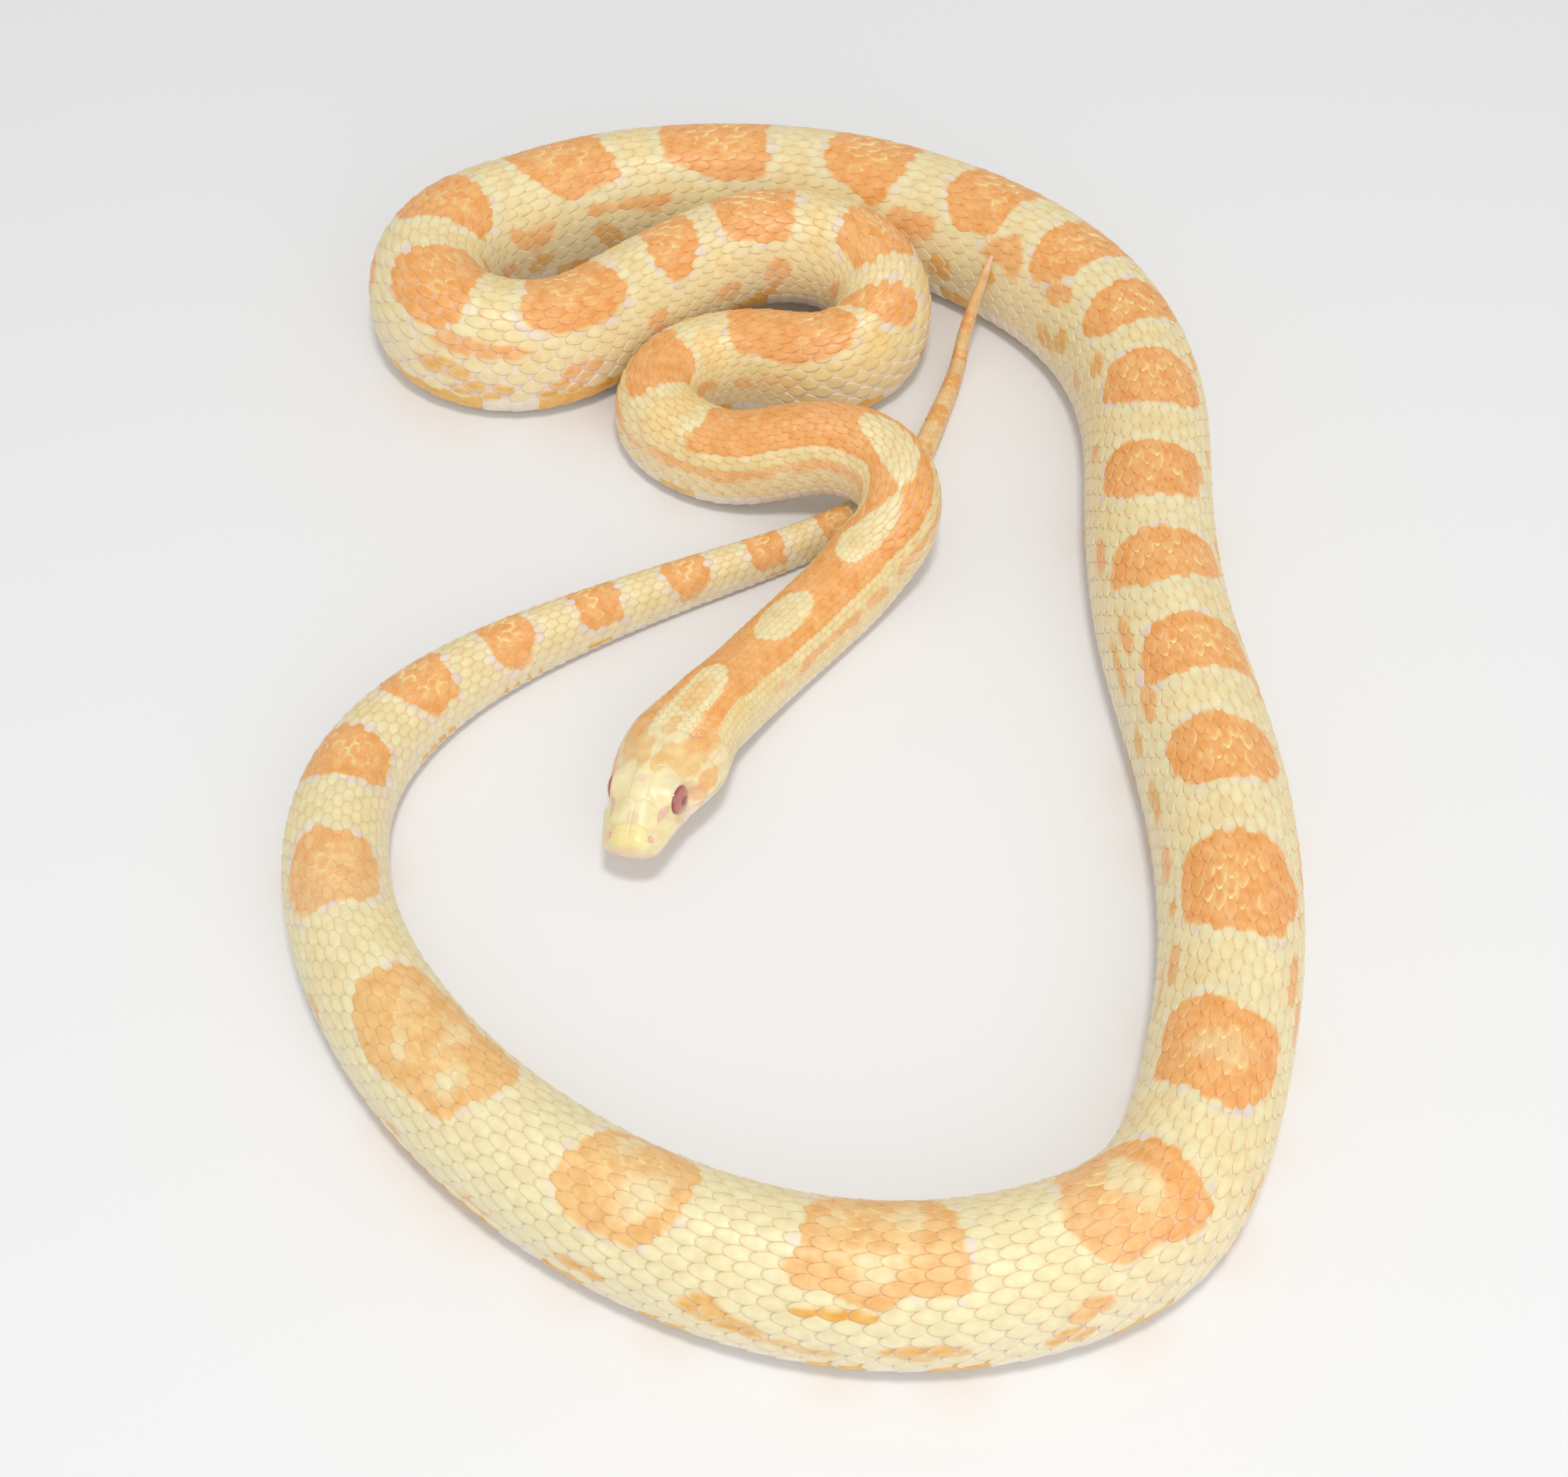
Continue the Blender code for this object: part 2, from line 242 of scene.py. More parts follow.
# %% Sizes along the body
BODY_HALF_WIDTH = (
    (40, 8.8), (50, 8.6), (65, 8.7), (97, 9.1), (140, 9.5), (180, 10), (215, 10.6), (250, 11.6),
    (285, 12), (335, 12.8), (385, 14.7), (430, 14.2), (480, 13.8), (555, 14.6), (645, 14.2),
    (725, 14.5), (815, 13.9), (855, 14.1), (925, 13.5), (985, 12.3), (1020, 11.2),
    (1045, 10.4), (1065, 9.3), (1105, 7), (1145, 5.4), (1185, 4.2), (1205, 3.5), (1225, 2.8),
    (1240, 2.35), (1255, 1.9), (1265, 1.6), (1275, 1.15), (1286, 0.5),
)
HEAD_HALF_WIDTH = (
    (0, 5.3), (4.5, 6.6), (9.5, 8), (14, 9.2), (17, 10.1), (21, 11.3), (25, 11.8), (29, 11.3),
    (33, 10.1), (37, 9.1), (40, 8.8),
)
HEAD_TOP = (
    (0, 7.2), (4, 8.6), (8, 10.2), (12, 11.9), (16, 13.2), (20, 14.2), (26, 15.6),
    (32, 17), (40, 19),
)
HEAD_UNDERSIDE = ((0, 2.2), (4, 1), (8, 0.5), (14, 0.2), (20, 0), (40, 0))
HEAD_WIDEST_LEVEL = ((0, 4.4), (8, 4.2), (16, 4.5), (24, 5.8), (30, 7), (40, 8))
MOUTH_LINE = ((0, 2.9), (6, 2.6), (12, 3), (18, 3.8), (24, 4.6), (27, 5.2))
CROWN_TAPER = ((0, 0.25), (8, 0.38), (15, 0.42), (22, 0.25), (28, 0.1), (36, 0))
HEAD_LEAN = ((0, 7), (20, 6), (32, 3), (46, 0))
LEAN_LEVEL = 8.0
HEIGHT_OVER_HALF_WIDTH = 2.16
WIDEST_LEVEL = 0.42
BELLY_REACH = 1.06
JAW_BACK = 27.0
SNOUT_LENGTH = 3.0
JAW_SETBACK = 1.4
FRONT_POWER = 2.3
FACE_LENGTH = 0.75 * SNOUT_LENGTH
BACK_POWER = (0.8, 1.0)
BACK_CHANGE = (18, 36)
BELLY_POWER = (0.85, 0.72)
BELLY_CHANGE = (20, 34)
TIP_LENGTH = 1.5
print("widest", 2 * max(width for _, width in BODY_HALF_WIDTH), "mm")

# %% [markdown]
# Each half of a section is a superellipse, |x/w|^(1/p) + |z/h|^(1/p) = 1, which
# goes from round to boxy with one number. The front of the head is rounded off
# by drawing every section in towards one level, and the jaw, which starts a
# little further back than the nose, is drawn in separately.

# %% Cross-sections
def blunt(distance, length):
    """Rounded front: (1 - (1 - d/L)^2.3)^(1/2.3), from 0 to 1 over the length."""
    return (1 - (1 - np.clip(distance / length, 0, 1)) ** FRONT_POWER) ** (1 / FRONT_POWER)


def nose_stations(shares):
    """Stations at which blunt() over the snout has the given shares."""
    return SNOUT_LENGTH * (1 - (1 - shares ** FRONT_POWER) ** (1 / FRONT_POWER))


def lip_level(s, level):
    """Height of the mouth line at s: level + (mouth - level) * blunt."""
    return level + (held(MOUTH_LINE, s) - level) * blunt(s, FACE_LENGTH)


def half_sections(s, samples=241):
    """x and z in mm of the half sections at stations s, from the middle of the
    back (turn 0) to the middle of the belly (turn pi)."""
    on_head = s < NECK
    body = held(BODY_HALF_WIDTH, s)
    level = np.where(on_head, held(HEAD_WIDEST_LEVEL, s),
                     WIDEST_LEVEL * HEIGHT_OVER_HALF_WIDTH * body)
    lip = lip_level(s, level)[:, None]
    level = level[:, None]
    width = np.where(on_head, held(HEAD_HALF_WIDTH, s), body)[:, None]
    top = np.where(on_head, held(HEAD_TOP, s), HEIGHT_OVER_HALF_WIDTH * body)[:, None]
    bottom = held(HEAD_UNDERSIDE, s)[:, None]
    mouth = held(MOUTH_LINE, s)[:, None]
    taper = held(CROWN_TAPER, s)[:, None]
    s = s[:, None]
    turn = np.linspace(0, np.pi, samples)[None, :]
    back = BACK_POWER[0] + (BACK_POWER[1] - BACK_POWER[0]) * ease(s, *BACK_CHANGE)
    belly = BELLY_POWER[0] + (BELLY_POWER[1] - BELLY_POWER[0]) * ease(s, *BELLY_CHANGE)
    upper = np.cos(turn) > 0
    power = np.where(upper, back, belly)
    rise = np.abs(np.cos(turn)) ** power
    over = level + (top - level) * rise
    under = np.maximum(bottom, level - (level - bottom) * BELLY_REACH * rise)
    x = width * np.abs(np.sin(turn)) ** power
    x = x * np.where(upper, 1 - taper * (over - level) / (top - level), 1)
    z = np.where(upper, over, under)
    jaw = blunt(s - JAW_SETBACK, SNOUT_LENGTH)
    below = (z < mouth) & (s < JAW_BACK)
    x = x * np.where(below, jaw, blunt(s, SNOUT_LENGTH))
    z = np.where(below, lip + (z - mouth) * jaw, level + (z - level) * blunt(s, FACE_LENGTH))
    to_tip = 1 - np.clip((LENGTH - s) / TIP_LENGTH, 0, 1)
    tip = np.where(s > NECK, np.sqrt(1 - to_tip ** 2), 1)
    return x * tip, np.where(s > NECK, level + (z - level) * tip, z)


def run_round(x, z):
    """Distance round each half section from the middle of the back."""
    step = np.hypot(np.diff(x, axis=1), np.diff(z, axis=1)) + 1e-9
    return np.concatenate((np.zeros((len(x), 1)), np.cumsum(step, axis=1)), axis=1)


def read_sections(s, u):
    """Half sections at the shares u (rows of stations, columns of places) of
    their own length; u runs from -1 over the back at 0 to 1. Also the length."""
    x, z = half_sections(s)
    run = run_round(x, z)
    total = run[:, -1]
    row = np.arange(len(x))[:, None]
    flat = (run / total[:, None] + 2 * row).ravel()
    want = np.abs(u) + 2 * row
    first = row * x.shape[1]
    i = np.clip(np.searchsorted(flat, want) - 1, first, first + x.shape[1] - 2)
    share = np.clip((want - flat[i]) / (flat[i + 1] - flat[i]), 0, 1)
    x, z = (v.ravel()[i] * (1 - share) + v.ravel()[i + 1] * share for v in (x, z))
    return x * np.sign(u), z, total


print("height at mid-body", round(half_sections(np.array([600.0]))[1].max(), 1), "mm")

# %% [markdown]
# The sections are then stood along the route like ribs on a spine: across it
# to the animal's left, and square up from it. The head also leans a few
# degrees to its right, as it does in the pose.

# %% The surface
def unit(v):
    """Vectors of length one: v / |v|."""
    return v / np.maximum(np.linalg.norm(v, axis=-1, keepdims=True), 1e-9)


def spine(s):
    """Middle of the underside at stations s, and the directions toward the
    tail, to the animal's left, and up."""
    def at(station):
        return np.column_stack([np.interp(station, RUN, LINE[:, k]) for k in range(3)])

    along = unit(at(s + 1) - at(s - 1))
    side = unit(np.cross(along, (0, 0, 1.0)))
    return at(s), along, side, np.cross(side, along)


def stand(s, x, z):
    """Section points (x, z) stood across the spine: centre + across * side +
    height * up, with the head leaning a few degrees to its right."""
    tilted = s < HEAD_LEAN[-1][0]
    lean = np.radians(held(HEAD_LEAN, s) * tilted)[:, None]
    level = np.where(tilted, LEAN_LEVEL, 0)[:, None]
    across = x * np.cos(lean) - (z - level) * np.sin(lean)
    height = level + (z - level) * np.cos(lean) + x * np.sin(lean)
    centre, _, side, up = spine(s)
    return centre[:, None] + across[..., None] * side[:, None] + height[..., None] * up[:, None]


def surface(s, u):
    """Points in mm for stations s and shares u, and the half lengths."""
    u = np.broadcast_to(u, (len(s), np.shape(u)[-1]))
    x, z, total = read_sections(s, u)
    return stand(s, x, z), total


middle = surface(np.array([600.0]), np.array([[0.0]]))[0][0, 0]
print("middle of the back at 600 mm", middle.round(1))

# %% [markdown]
# Thousands of scales need a place and a direction each. It is quicker to work
# the surface out once, as a fine map, and to read from it, than to work out
# every scale afresh. The map also tells how far the skin is stretched on the
# outside of a bend and squeezed on its inside.

# %% A map of the whole skin
MAP_STEP = 0.8
MAP_COLUMNS = 193


def outward(points, rows, columns):
    """Normals of a grid, (dP/du) x (dP/ds), the same on the two edges, which
    meet under the belly; and the stretch |dP/ds|."""
    ds = np.gradient(points, rows, axis=0)
    du = np.gradient(points, columns, axis=1)
    normal = unit(np.cross(du, ds))
    normal[:, 0] = normal[:, -1] = unit(normal[:, 1] + normal[:, -2])
    return normal, np.linalg.norm(ds, axis=-1)


def on_map(values, s, u):
    """A mapped quantity at any (s, u), mixed from the four nearest samples."""
    i = np.clip((s - MAP_S[0]) / MAP_STEP, 0, len(MAP_S) - 1.001)
    j = np.clip((u + 1) / (MAP_U[1] - MAP_U[0]), 0, MAP_COLUMNS - 1.001)
    i0, j0 = i.astype(int), j.astype(int)
    a, b = i - i0, j - j0
    if values.ndim == 3:
        a, b = a[..., None], b[..., None]
    near = values[i0, j0] * (1 - b) + values[i0, j0 + 1] * b
    far = values[i0 + 1, j0] * (1 - b) + values[i0 + 1, j0 + 1] * b
    return near * (1 - a) + far * a


MAP_S = np.arange(MAP_STEP / 2, LENGTH, MAP_STEP)
MAP_U = np.linspace(-1, 1, MAP_COLUMNS)
MAP_P, _ = surface(MAP_S, MAP_U)
MAP_N, MAP_STRETCH = outward(MAP_P, MAP_S, MAP_U)
print("skin map", MAP_P.shape, "lowest", round(MAP_P[..., 2].min(), 3))

# %% [markdown]
# The markings belong to the body, not to the picture: each orange saddle is a
# rounded patch around one station on the back, and smaller blotches stand
# between the saddles on the sides. Every mark is a formula of the two body
# numbers, so the skin and the scales over it carry the same pattern.

# %% Tables of the marks
SADDLES = (
    # middle, half length along the body, half width round it
    (148, 20, 0.27), (191, 9.5, 0.28), (228, 16.5, 0.28), (254, 4.5, 0.27), (270.5, 6.5, 0.27),
    (295, 8, 0.27), (315, 6.5, 0.28), (344, 12.5, 0.28), (378, 9.5, 0.29), (407, 8.5, 0.29),
    (439, 11.5, 0.28), (478, 13.5, 0.27), (516.5, 11, 0.28), (549, 9.5, 0.28), (576, 7.5, 0.28),
    (599, 7, 0.28), (623.5, 8.5, 0.27), (652, 8.5, 0.28), (678, 7.5, 0.28), (704, 8, 0.28),
    (731.5, 8.5, 0.27), (764.5, 12, 0.28), (802.5, 11, 0.28), (839, 12, 0.28), (884, 14.5, 0.28),
    (930, 12, 0.28), (980, 19, 0.28), (1027, 10, 0.29), (1059, 7.5, 0.35), (1085, 7, 0.38),
    (1108, 5.6, 0.42), (1130, 5.4, 0.45), (1151.5, 5, 0.50), (1171, 4.4, 0.55), (1189, 4.3, 0.60),
    (1205, 4, 0.65), (1220, 3.6, 0.70), (1234, 3.2, 0.75), (1247, 2.8, 0.80), (1258, 2.4, 0.80),
    (1268, 2, 0.80),
)
NECK_OVALS = (
    (33, 10.5, 0.135), (67, 9.5, 0.145), (102, 10.5, 0.14), (122, 8.5, 0.15), (173.5, 7.5, 0.2),
)
# Each spot: middle, share round the side, half length, half width round the side.
SIDE_SPOTS = {
    "orange": (
        (270, 0.46, 4, 0.07), (292, 0.45, 4, 0.10), (306, 0.49, 5, 0.05), (327, 0.44, 4, 0.07),
        (347, 0.50, 5, 0.08), (364, 0.325, 9, 0.045), (393, 0.42, 4, 0.08),
        (414, 0.52, 4, 0.04), (425, 0.40, 5.5, 0.10), (453, 0.36, 10, 0.05),
        (480, 0.46, 5, 0.06), (499, 0.38, 6, 0.08), (532, 0.34, 7, 0.09), (561, 0.28, 7, 0.09),
        (582, 0.27, 5, 0.07), (612, 0.28, 4, 0.05), (608, 0.46, 3.5, 0.05),
        (639, 0.36, 3, 0.04), (669.5, 0.36, 4, 0.05), (695, 0.31, 5, 0.035),
        (713, 0.29, 5, 0.04), (753, 0.38, 6, 0.04), (781, 0.30, 6, 0.045), (787, 0.39, 6, 0.04),
        (850.5, 0.40, 4, 0.04),
    ),
    "amber": (
        (296, 0.60, 4, 0.06), (352, 0.57, 6, 0.05), (371.5, 0.47, 5, 0.07),
        (366, 0.56, 8, 0.05), (381.5, 0.65, 6, 0.05), (426.5, 0.55, 5, 0.05),
        (446, 0.52, 4.5, 0.10), (501, 0.54, 4, 0.07), (542, 0.50, 4, 0.06),
        (559, 0.42, 4, 0.08), (585, 0.50, 5, 0.07), (593, 0.42, 4, 0.06), (699, 0.42, 7, 0.04),
        (718, 0.44, 5, 0.045), (736, 0.42, 7, 0.05), (766, 0.33, 3, 0.035),
        (820, 0.46, 6, 0.05), (852, 0.53, 5, 0.05), (876, 0.50, 8, 0.05), (890, 0.32, 6, 0.03),
        (895, 0.53, 6, 0.04), (910, 0.45, 7, 0.08), (935, 0.50, 7, 0.04), (956, 0.54, 4, 0.03),
        (976, 0.54, 3, 0.03), (1005, 0.50, 4, 0.05),
    ),
}
GOLD_WITH_PAINTED_GLARE = (
    # station, how much gold lies over the cream; the dip to 0.1 at 870 to 960 mm, on the near
    # loop, is painted glare that makes that loop look brightly lit
    (30, 0.75), (260, 0.8), (320, 0.6), (600, 0.45), (780, 0.4), (830, 0.45), (870, 0.1),
    (960, 0.1), (1000, 0.35), (1100, 0.5), (1285, 0.6),
)
RIM_BREAKS = ((170, 0.9), (240, 0.25), (900, 0.25), (1040, -0.35), (1280, -0.35))
NECK_BAND = (93, 72, 0.255)  # middle, half length, half width round the body
NECK_BAND_END = 170
STRIPE_SHARE = 0.43
# Spans: from, fully from, fully to, to. The rim's are mm past an outline.
STRIPE_SPAN = (44, 60, 215, 240)
HEART_SPAN = (780, 830, 1000, 1030)
# painted glare: the stretch of the near loop whose saddles are paled as if brightly lit
PAINTED_GLARE_SPAN = (820, 880, 990, 1050)
RIM_SPAN = (-0.1, 0.2, 1.2, 1.7)
RIMS_FADE = (1170, 1200)
TAIL_TURNS, TIP_TURNS = (1190, 1225), (1255, 1270)
CORES_START = 230
BEYOND = 9.0
print(len(SADDLES), "saddles,", sum(map(len, SIDE_SPOTS.values())), "side blotches")

# %% [markdown]
# On a real snake no patch has a ruled outline: its edge follows the scales and
# wanders. A few sine waves with seeded random lengths give that unevenness, the
# same on every run. The distance to a patch is 1 on its outline, so one number
# tells the outline, the pale rim outside it and the core within.

# %% Distances to the marks
def wave(s, u, seed):
    """Smooth uneven value in about -1..1: a third of the sum of six sines
    sin(a s + b u + c), with a, b and c drawn at random."""
    draw = np.random.default_rng(seed)
    total = np.zeros(np.broadcast(s, u).shape)
    for _ in range(6):
        fs, fu, phase = draw.uniform(0.12, 0.6), draw.uniform(4, 18), draw.uniform(0, 6.3)
        total = total + np.sin(fs * s + fu * u * draw.choice((-1, 1)) + phase)
    return total / 3.0


def patch(s, u, middle, long, wide, power, waist):
    """1 at the rim of a rounded patch and 0 in its middle: the power norm of
    ds / (long (1 + waist (du/wide)^2)) and du / wide."""
    across = np.abs(u) / wide
    along = np.abs(s - middle) / (long * (1 + waist * np.clip(across, 0, 1) ** 2))
    return (along ** power + across ** power) ** (1 / power)


def nearest_patch(table, s, u, power, waist):
    """Least distance to any patch of a table, and the half length of that one."""
    nearest, reach = np.full(np.shape(s), BEYOND), np.ones(np.shape(s))
    for middle, long, wide in table:
        away = patch(s, u, middle, long, wide, power, waist)
        reach = np.where(away < nearest, long, reach)
        nearest = np.minimum(nearest, away)
    return nearest, reach


def saddle_distance(s, u, uneven):
    """Distance to the saddles, joined on the neck into one long band, with an
    uneven outline; and the half length of the nearest."""
    nearest, reach = nearest_patch(SADDLES, s, u, 2.6, 0.05)
    middle, long, wide = NECK_BAND
    band = np.maximum(np.abs(u) / (wide + 0.03 * ease(s, 30, 60)), np.abs(s - middle) / long)
    on_neck = s < NECK_BAND_END
    nearest = np.where(on_neck, np.minimum(nearest, band), nearest)
    return nearest + np.where(on_neck, 0.05, 0.10) * uneven * (nearest > 0.5), reach


def side_marks(s, u, uneven):
    """Masks of the blotches on the flank: 1 - ease(distance) of each spot, and
    the broken stripe along the side of the neck."""
    height, rough = np.abs(u), 0.35 * wave(s, u, 8)
    sides = {}
    for key, spots in SIDE_SPOTS.items():
        sides[key] = np.zeros(np.shape(s))
        for middle, share, long, wide in spots:
            away = patch(s, height - share, middle, long, wide, 2, 0)
            sides[key] = np.maximum(sides[key], 1 - ease(away + rough, 0.8, 1.1))
    stripe = 1 - ease(np.abs(height - STRIPE_SHARE + 0.02 * uneven), 0.04, 0.055)
    stripe = stripe * within(s, STRIPE_SPAN) * ease(uneven, -1.1, -0.3)
    return np.maximum(sides["orange"], stripe), sides["amber"]


ON_BACK = saddle_distance(MAP_S, 0 * MAP_S, 0 * MAP_S)[0]
print("share of the back that is orange", round(float((ON_BACK < 1).mean()), 2))

# %% [markdown]
# The masks say how much of each pigment lies at a place. On the near front loop
# the saddles are paled from orange toward yellow, and the gold toward cream, as
# painted glare of a brightly lit loop; the saddles there also open into a light
# middle. Toward the tip of the tail everything turns orange; and a whitish rim,
# broken here and there, stands round each saddle.

# %% Masks of the body
def marks(s, u):
    """The masks of the pattern at body places: each is 1 inside its patches,
    0 outside, and eased over their rims; see the tables above."""
    uneven, height = wave(s, u, 3), np.abs(u)
    nearest, reach = saddle_distance(s, u, uneven)
    ovals, _ = nearest_patch(NECK_OVALS, s, u, 2.0, 0)
    orange = (1 - ease(nearest, 0.97, 1.03)) * ease(ovals + 0.06 * uneven, 0.97, 1.03)
    past = (nearest - 1) * reach
    breaks = ramp(RIM_BREAKS, s)
    rim = within(past, RIM_SPAN) * (1 - ease(s, *RIMS_FADE))
    rim = rim * ease(wave(s * 1.7, u * 1.7, 21), breaks, breaks + 0.2)
    heart = 1 - ease(nearest + 0.25 * wave(s, u, 14), 0.25, 0.65)
    heart = heart * within(s, HEART_SPAN) * ease(wave(s, u, 33), -0.9, 0.5)
    # painted glare: the saddles of the near loop are paled toward the lobe colour as if brightly
    # lit
    painted_glare = within(s, PAINTED_GLARE_SPAN)
    side, amber = side_marks(s, u, uneven)
    gap = (1 - ease(height, 0.24, 0.36)) * (1 - orange)
    # the ground's gold, thinned to cream on the near loop as painted glare
    gold_with_painted_glare = ramp(GOLD_WITH_PAINTED_GLARE, s) + 0.35 * gap * (ease(past, 1.5, 4.5) - 0.6) + 0.08 * uneven
    in_oval = (0.45 + 0.4 * (s < 48)) * (1 - ease(ovals + 0.12 * uneven, 0.35, 0.8))
    # lobe colour toward the tail tip, and on the near loop's saddles as painted glare
    tail_turn_and_glare = np.maximum(0.6 * ease(s, *TAIL_TURNS), 0.9 * orange * painted_glare * (1 - 0.7 * heart))
    saddle = np.maximum(orange * (1 - 0.6 * heart) * (1 - 0.4 * painted_glare), 0.9 * side * (1 - orange))
    tip = 0.5 * ease(s, *TAIL_TURNS) + 0.25 * ease(s, *TIP_TURNS)
    return {
        "lobe": np.maximum(in_oval, tail_turn_and_glare),
        "orange": np.maximum(saddle, tip),
        "amber": amber * (1 - orange),
        "pale": rim * (height < 0.5),
        "gold": np.clip(gold_with_painted_glare, 0, 1),
        "core": (1 - ease(nearest, 0.35, 0.75)) * orange * (s > CORES_START) * (1 - 0.5 * heart),
        "flank": ease(height, 0.3, 0.55),
        "belly": ease(height, 0.66, 0.8),
    }


print("masks", ", ".join(marks(np.array([600.0]), np.array([0.0]))))

# %% [markdown]
# The head has a pattern of its own: an orange bar behind each eye, an orange
# lobe on the crown, pinkish nostrils and lips. It is drawn as soft ellipses.
# Just behind the head the two patterns are blended into each other, because the
# scales there must carry on what the plates of the head begin.

# %% Masks of the head
# Each spot: mask, station, share round the head, half length, half width.
HEAD_SPOTS = (
    ("lobe", 20.6, 0.19, 3.9, 0.165), ("lobe", 17.4, 0.06, 2.6, 0.06),
    ("orange", 27.5, 0.215, 5.6, 0.105), ("lobe", 25.0, 0.26, 4.5, 0.14),
    ("lobe", 25.3, 0.0, 3.0, 0.055), ("lobe", 33.5, 0.0, 4.4, 0.07),
    ("orange", 21.6, 0.440, 3.4, 0.075), ("lobe", 17.6, 0.465, 3.4, 0.07),
    ("pale", 14.6, 0.235, 2.2, 0.06), ("pale", 25.2, 0.365, 3.0, 0.035),
    ("ring", 20.6, 0.0, 2.6, 0.026), ("ring", 25.4, 0.095, 3.4, 0.042),
    ("ring", 30.5, 0.118, 4.0, 0.026), ("pink", 8.9, 0.30, 1.9, 0.04),
    ("pink", 3.1, 0.315, 0.9, 0.05), ("blush", 6.0, 0.0, 1.6, 0.07),
    ("blush", 13.5, 0.0, 0.8, 0.04), ("yellow", 2.2, 0.12, 2.9, 0.20),
    ("yellow", 11.6, 0.50, 1.6, 0.045),
)
SPOT_WEIGHT = {
    "orange": 0.8, "lobe": 0.85, "pale": 0.45, "pink": 0.7, "yellow": 0.5, "ring": 0.9,
    "blush": 0.3,
}
BODY_MARKS_START, BODY_MARKS_FULL = 27.5, 31


def head_marks(s, u):
    """Masks on the head: soft ellipses 1 - ease(r) about listed places, pink
    lips, and a cream chin. A ring is bare ground that cuts through a mark."""
    share = np.abs(u)
    rough = 0.12 * wave(s * 3, u * 2, 4)
    out = {key: np.zeros(np.shape(s)) for key in SPOT_WEIGHT}
    for key, station, place, long, wide in HEAD_SPOTS:
        r = np.hypot((s - station) / long, (share - place) / wide) + rough
        out[key] = np.maximum(out[key], SPOT_WEIGHT[key] * (1 - ease(r, 0.8, 1.15)))
    for key in ("orange", "lobe"):
        for over in ("pale", "pink", "ring"):
            out[key] = out[key] * (1 - np.clip(out[over] * 1.3, 0, 1))
    lips = ease(share, 0.49, 0.55) * (1 - ease(s, 11, 17)) + (1 - ease(s, 0.2, 1.3))
    lips = np.clip(lips, 0, 1)
    out["pink"] = np.maximum(np.maximum(out["pink"], out.pop("blush")), 0.28 * lips)
    out["belly"] = np.maximum(ease(share, 0.53, 0.60), 0.8 * lips)
    out["gold"] = 0.45 * (1 - ease(share, 0.42, 0.55)) * ease(s, 0.5, 2.5)
    out["flank"] = out["core"] = out["amber"] = 0 * share
    del out["ring"]
    return out


def all_marks(s, u):
    """Marks of the head on it and of the body behind it, eased between."""
    masks = marks(s, u)
    if np.min(s) > BODY_MARKS_FULL:
        return masks
    weight, on_head = ease(s, BODY_MARKS_START, BODY_MARKS_FULL), head_marks(s, u)
    return {key: weight * mask + (1 - weight) * on_head[key] for key, mask in masks.items()}


print(len(HEAD_SPOTS), "spots on the head")

# %% [markdown]
# A mesh in Blender is a list of points and a list of faces. Written from arrays
# in one go, a hundred thousand faces take a moment, where adding them one by
# one would take minutes. The masks go along as attributes of the points. The UV
# map lays the skin out flat in four strips, and puts each scale at its root.

# %% Mesh helpers
UV_STRIP = 320.0


def unwrap(s, u, strip):
    """Place of (s, u) on the unrolled skin, laid out as four strips."""
    return np.stack(((s - UV_STRIP * strip) / UV_STRIP, (strip + 0.02 + 0.48 * (u + 1)) / 4), -1)


def fill_mesh(name, points, faces, fields, uv):
    """Mesh from points in mm, quads, vertex fields and a UV pair for each
    corner of a face."""
    mesh = bpy.data.meshes.new(name)
    mesh.vertices.add(len(points))
    mesh.vertices.foreach_set("co", (points * MM).astype(np.float32).ravel())
    corners = faces.size
    mesh.loops.add(corners)
    mesh.loops.foreach_set("vertex_index", faces.ravel().astype(np.int32))
    mesh.polygons.add(len(faces))
    mesh.polygons.foreach_set("loop_start", np.arange(0, corners, 4, dtype=np.int32))
    mesh.update(calc_edges=True)
    mesh.polygons.foreach_set("use_smooth", np.ones(len(faces), dtype=bool))
    layer = mesh.uv_layers.new(name="OFBake")
    layer.data.foreach_set("uv", uv.astype(np.float32).ravel())
    for key, values in fields.items():
        data = mesh.attributes.new(key, "FLOAT", "POINT").data
        data.foreach_set("value", np.asarray(values, dtype=np.float32).ravel())
    mesh.validate()
    return mesh


def make_piece(name, mesh_data, material, replaced=()):
    """Piece of the model at the origin, which rides on the body; mesh_data is
    the points, faces, fields and UVs of fill_mesh."""
    mesh = fill_mesh(name, *mesh_data)
    mesh.materials.append(material)
    piece = bpy.data.objects.new(name, mesh)
    bpy.context.scene.collection.objects.link(piece)
    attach(piece, "root")
    if replaced:
        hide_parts(*replaced)
    print(name, len(mesh.vertices), "points,", 2 * len(mesh.polygons), "triangles")


def grid_quads(rows, columns):
    """Corners (i, j), (i, j+1), (i+1, j+1), (i+1, j) of a grid's quads."""
    i, j = np.meshgrid(np.arange(rows - 1), np.arange(columns - 1), indexing="ij")
    return np.stack((i, i, i + 1, i + 1), -1).reshape(-1, 4), \
        np.stack((j, j + 1, j + 1, j), -1).reshape(-1, 4)


def grid_faces(rows, columns):
    """Quads of a grid whose points are numbered row by row."""
    i, j = grid_quads(rows, columns)
    return i * columns + j


def fan(pole, first, around, way):
    """Quads (pole, a, b, c) that close a ring of points; way -1 turns a, b, c
    round, for a ring that runs the other way about."""
    ring = np.arange(0, around, 2)
    steps = (ring, ring + 1, (ring + 2) % around)[::way]
    return np.stack((np.full(len(ring), pole), *(first + step for step in steps)), -1)


print("a ring of 8 closes with", len(fan(8, 0, 8, 1)), "quads")

# %% [markdown]
# A scale is clear horn over coloured skin. Its colours are real pigments, which
# in this animal are only yellow and red ones: cream ground, gold on the back,
# orange saddles, and white where there is none. They are written once here, as
# linear red, green and blue.

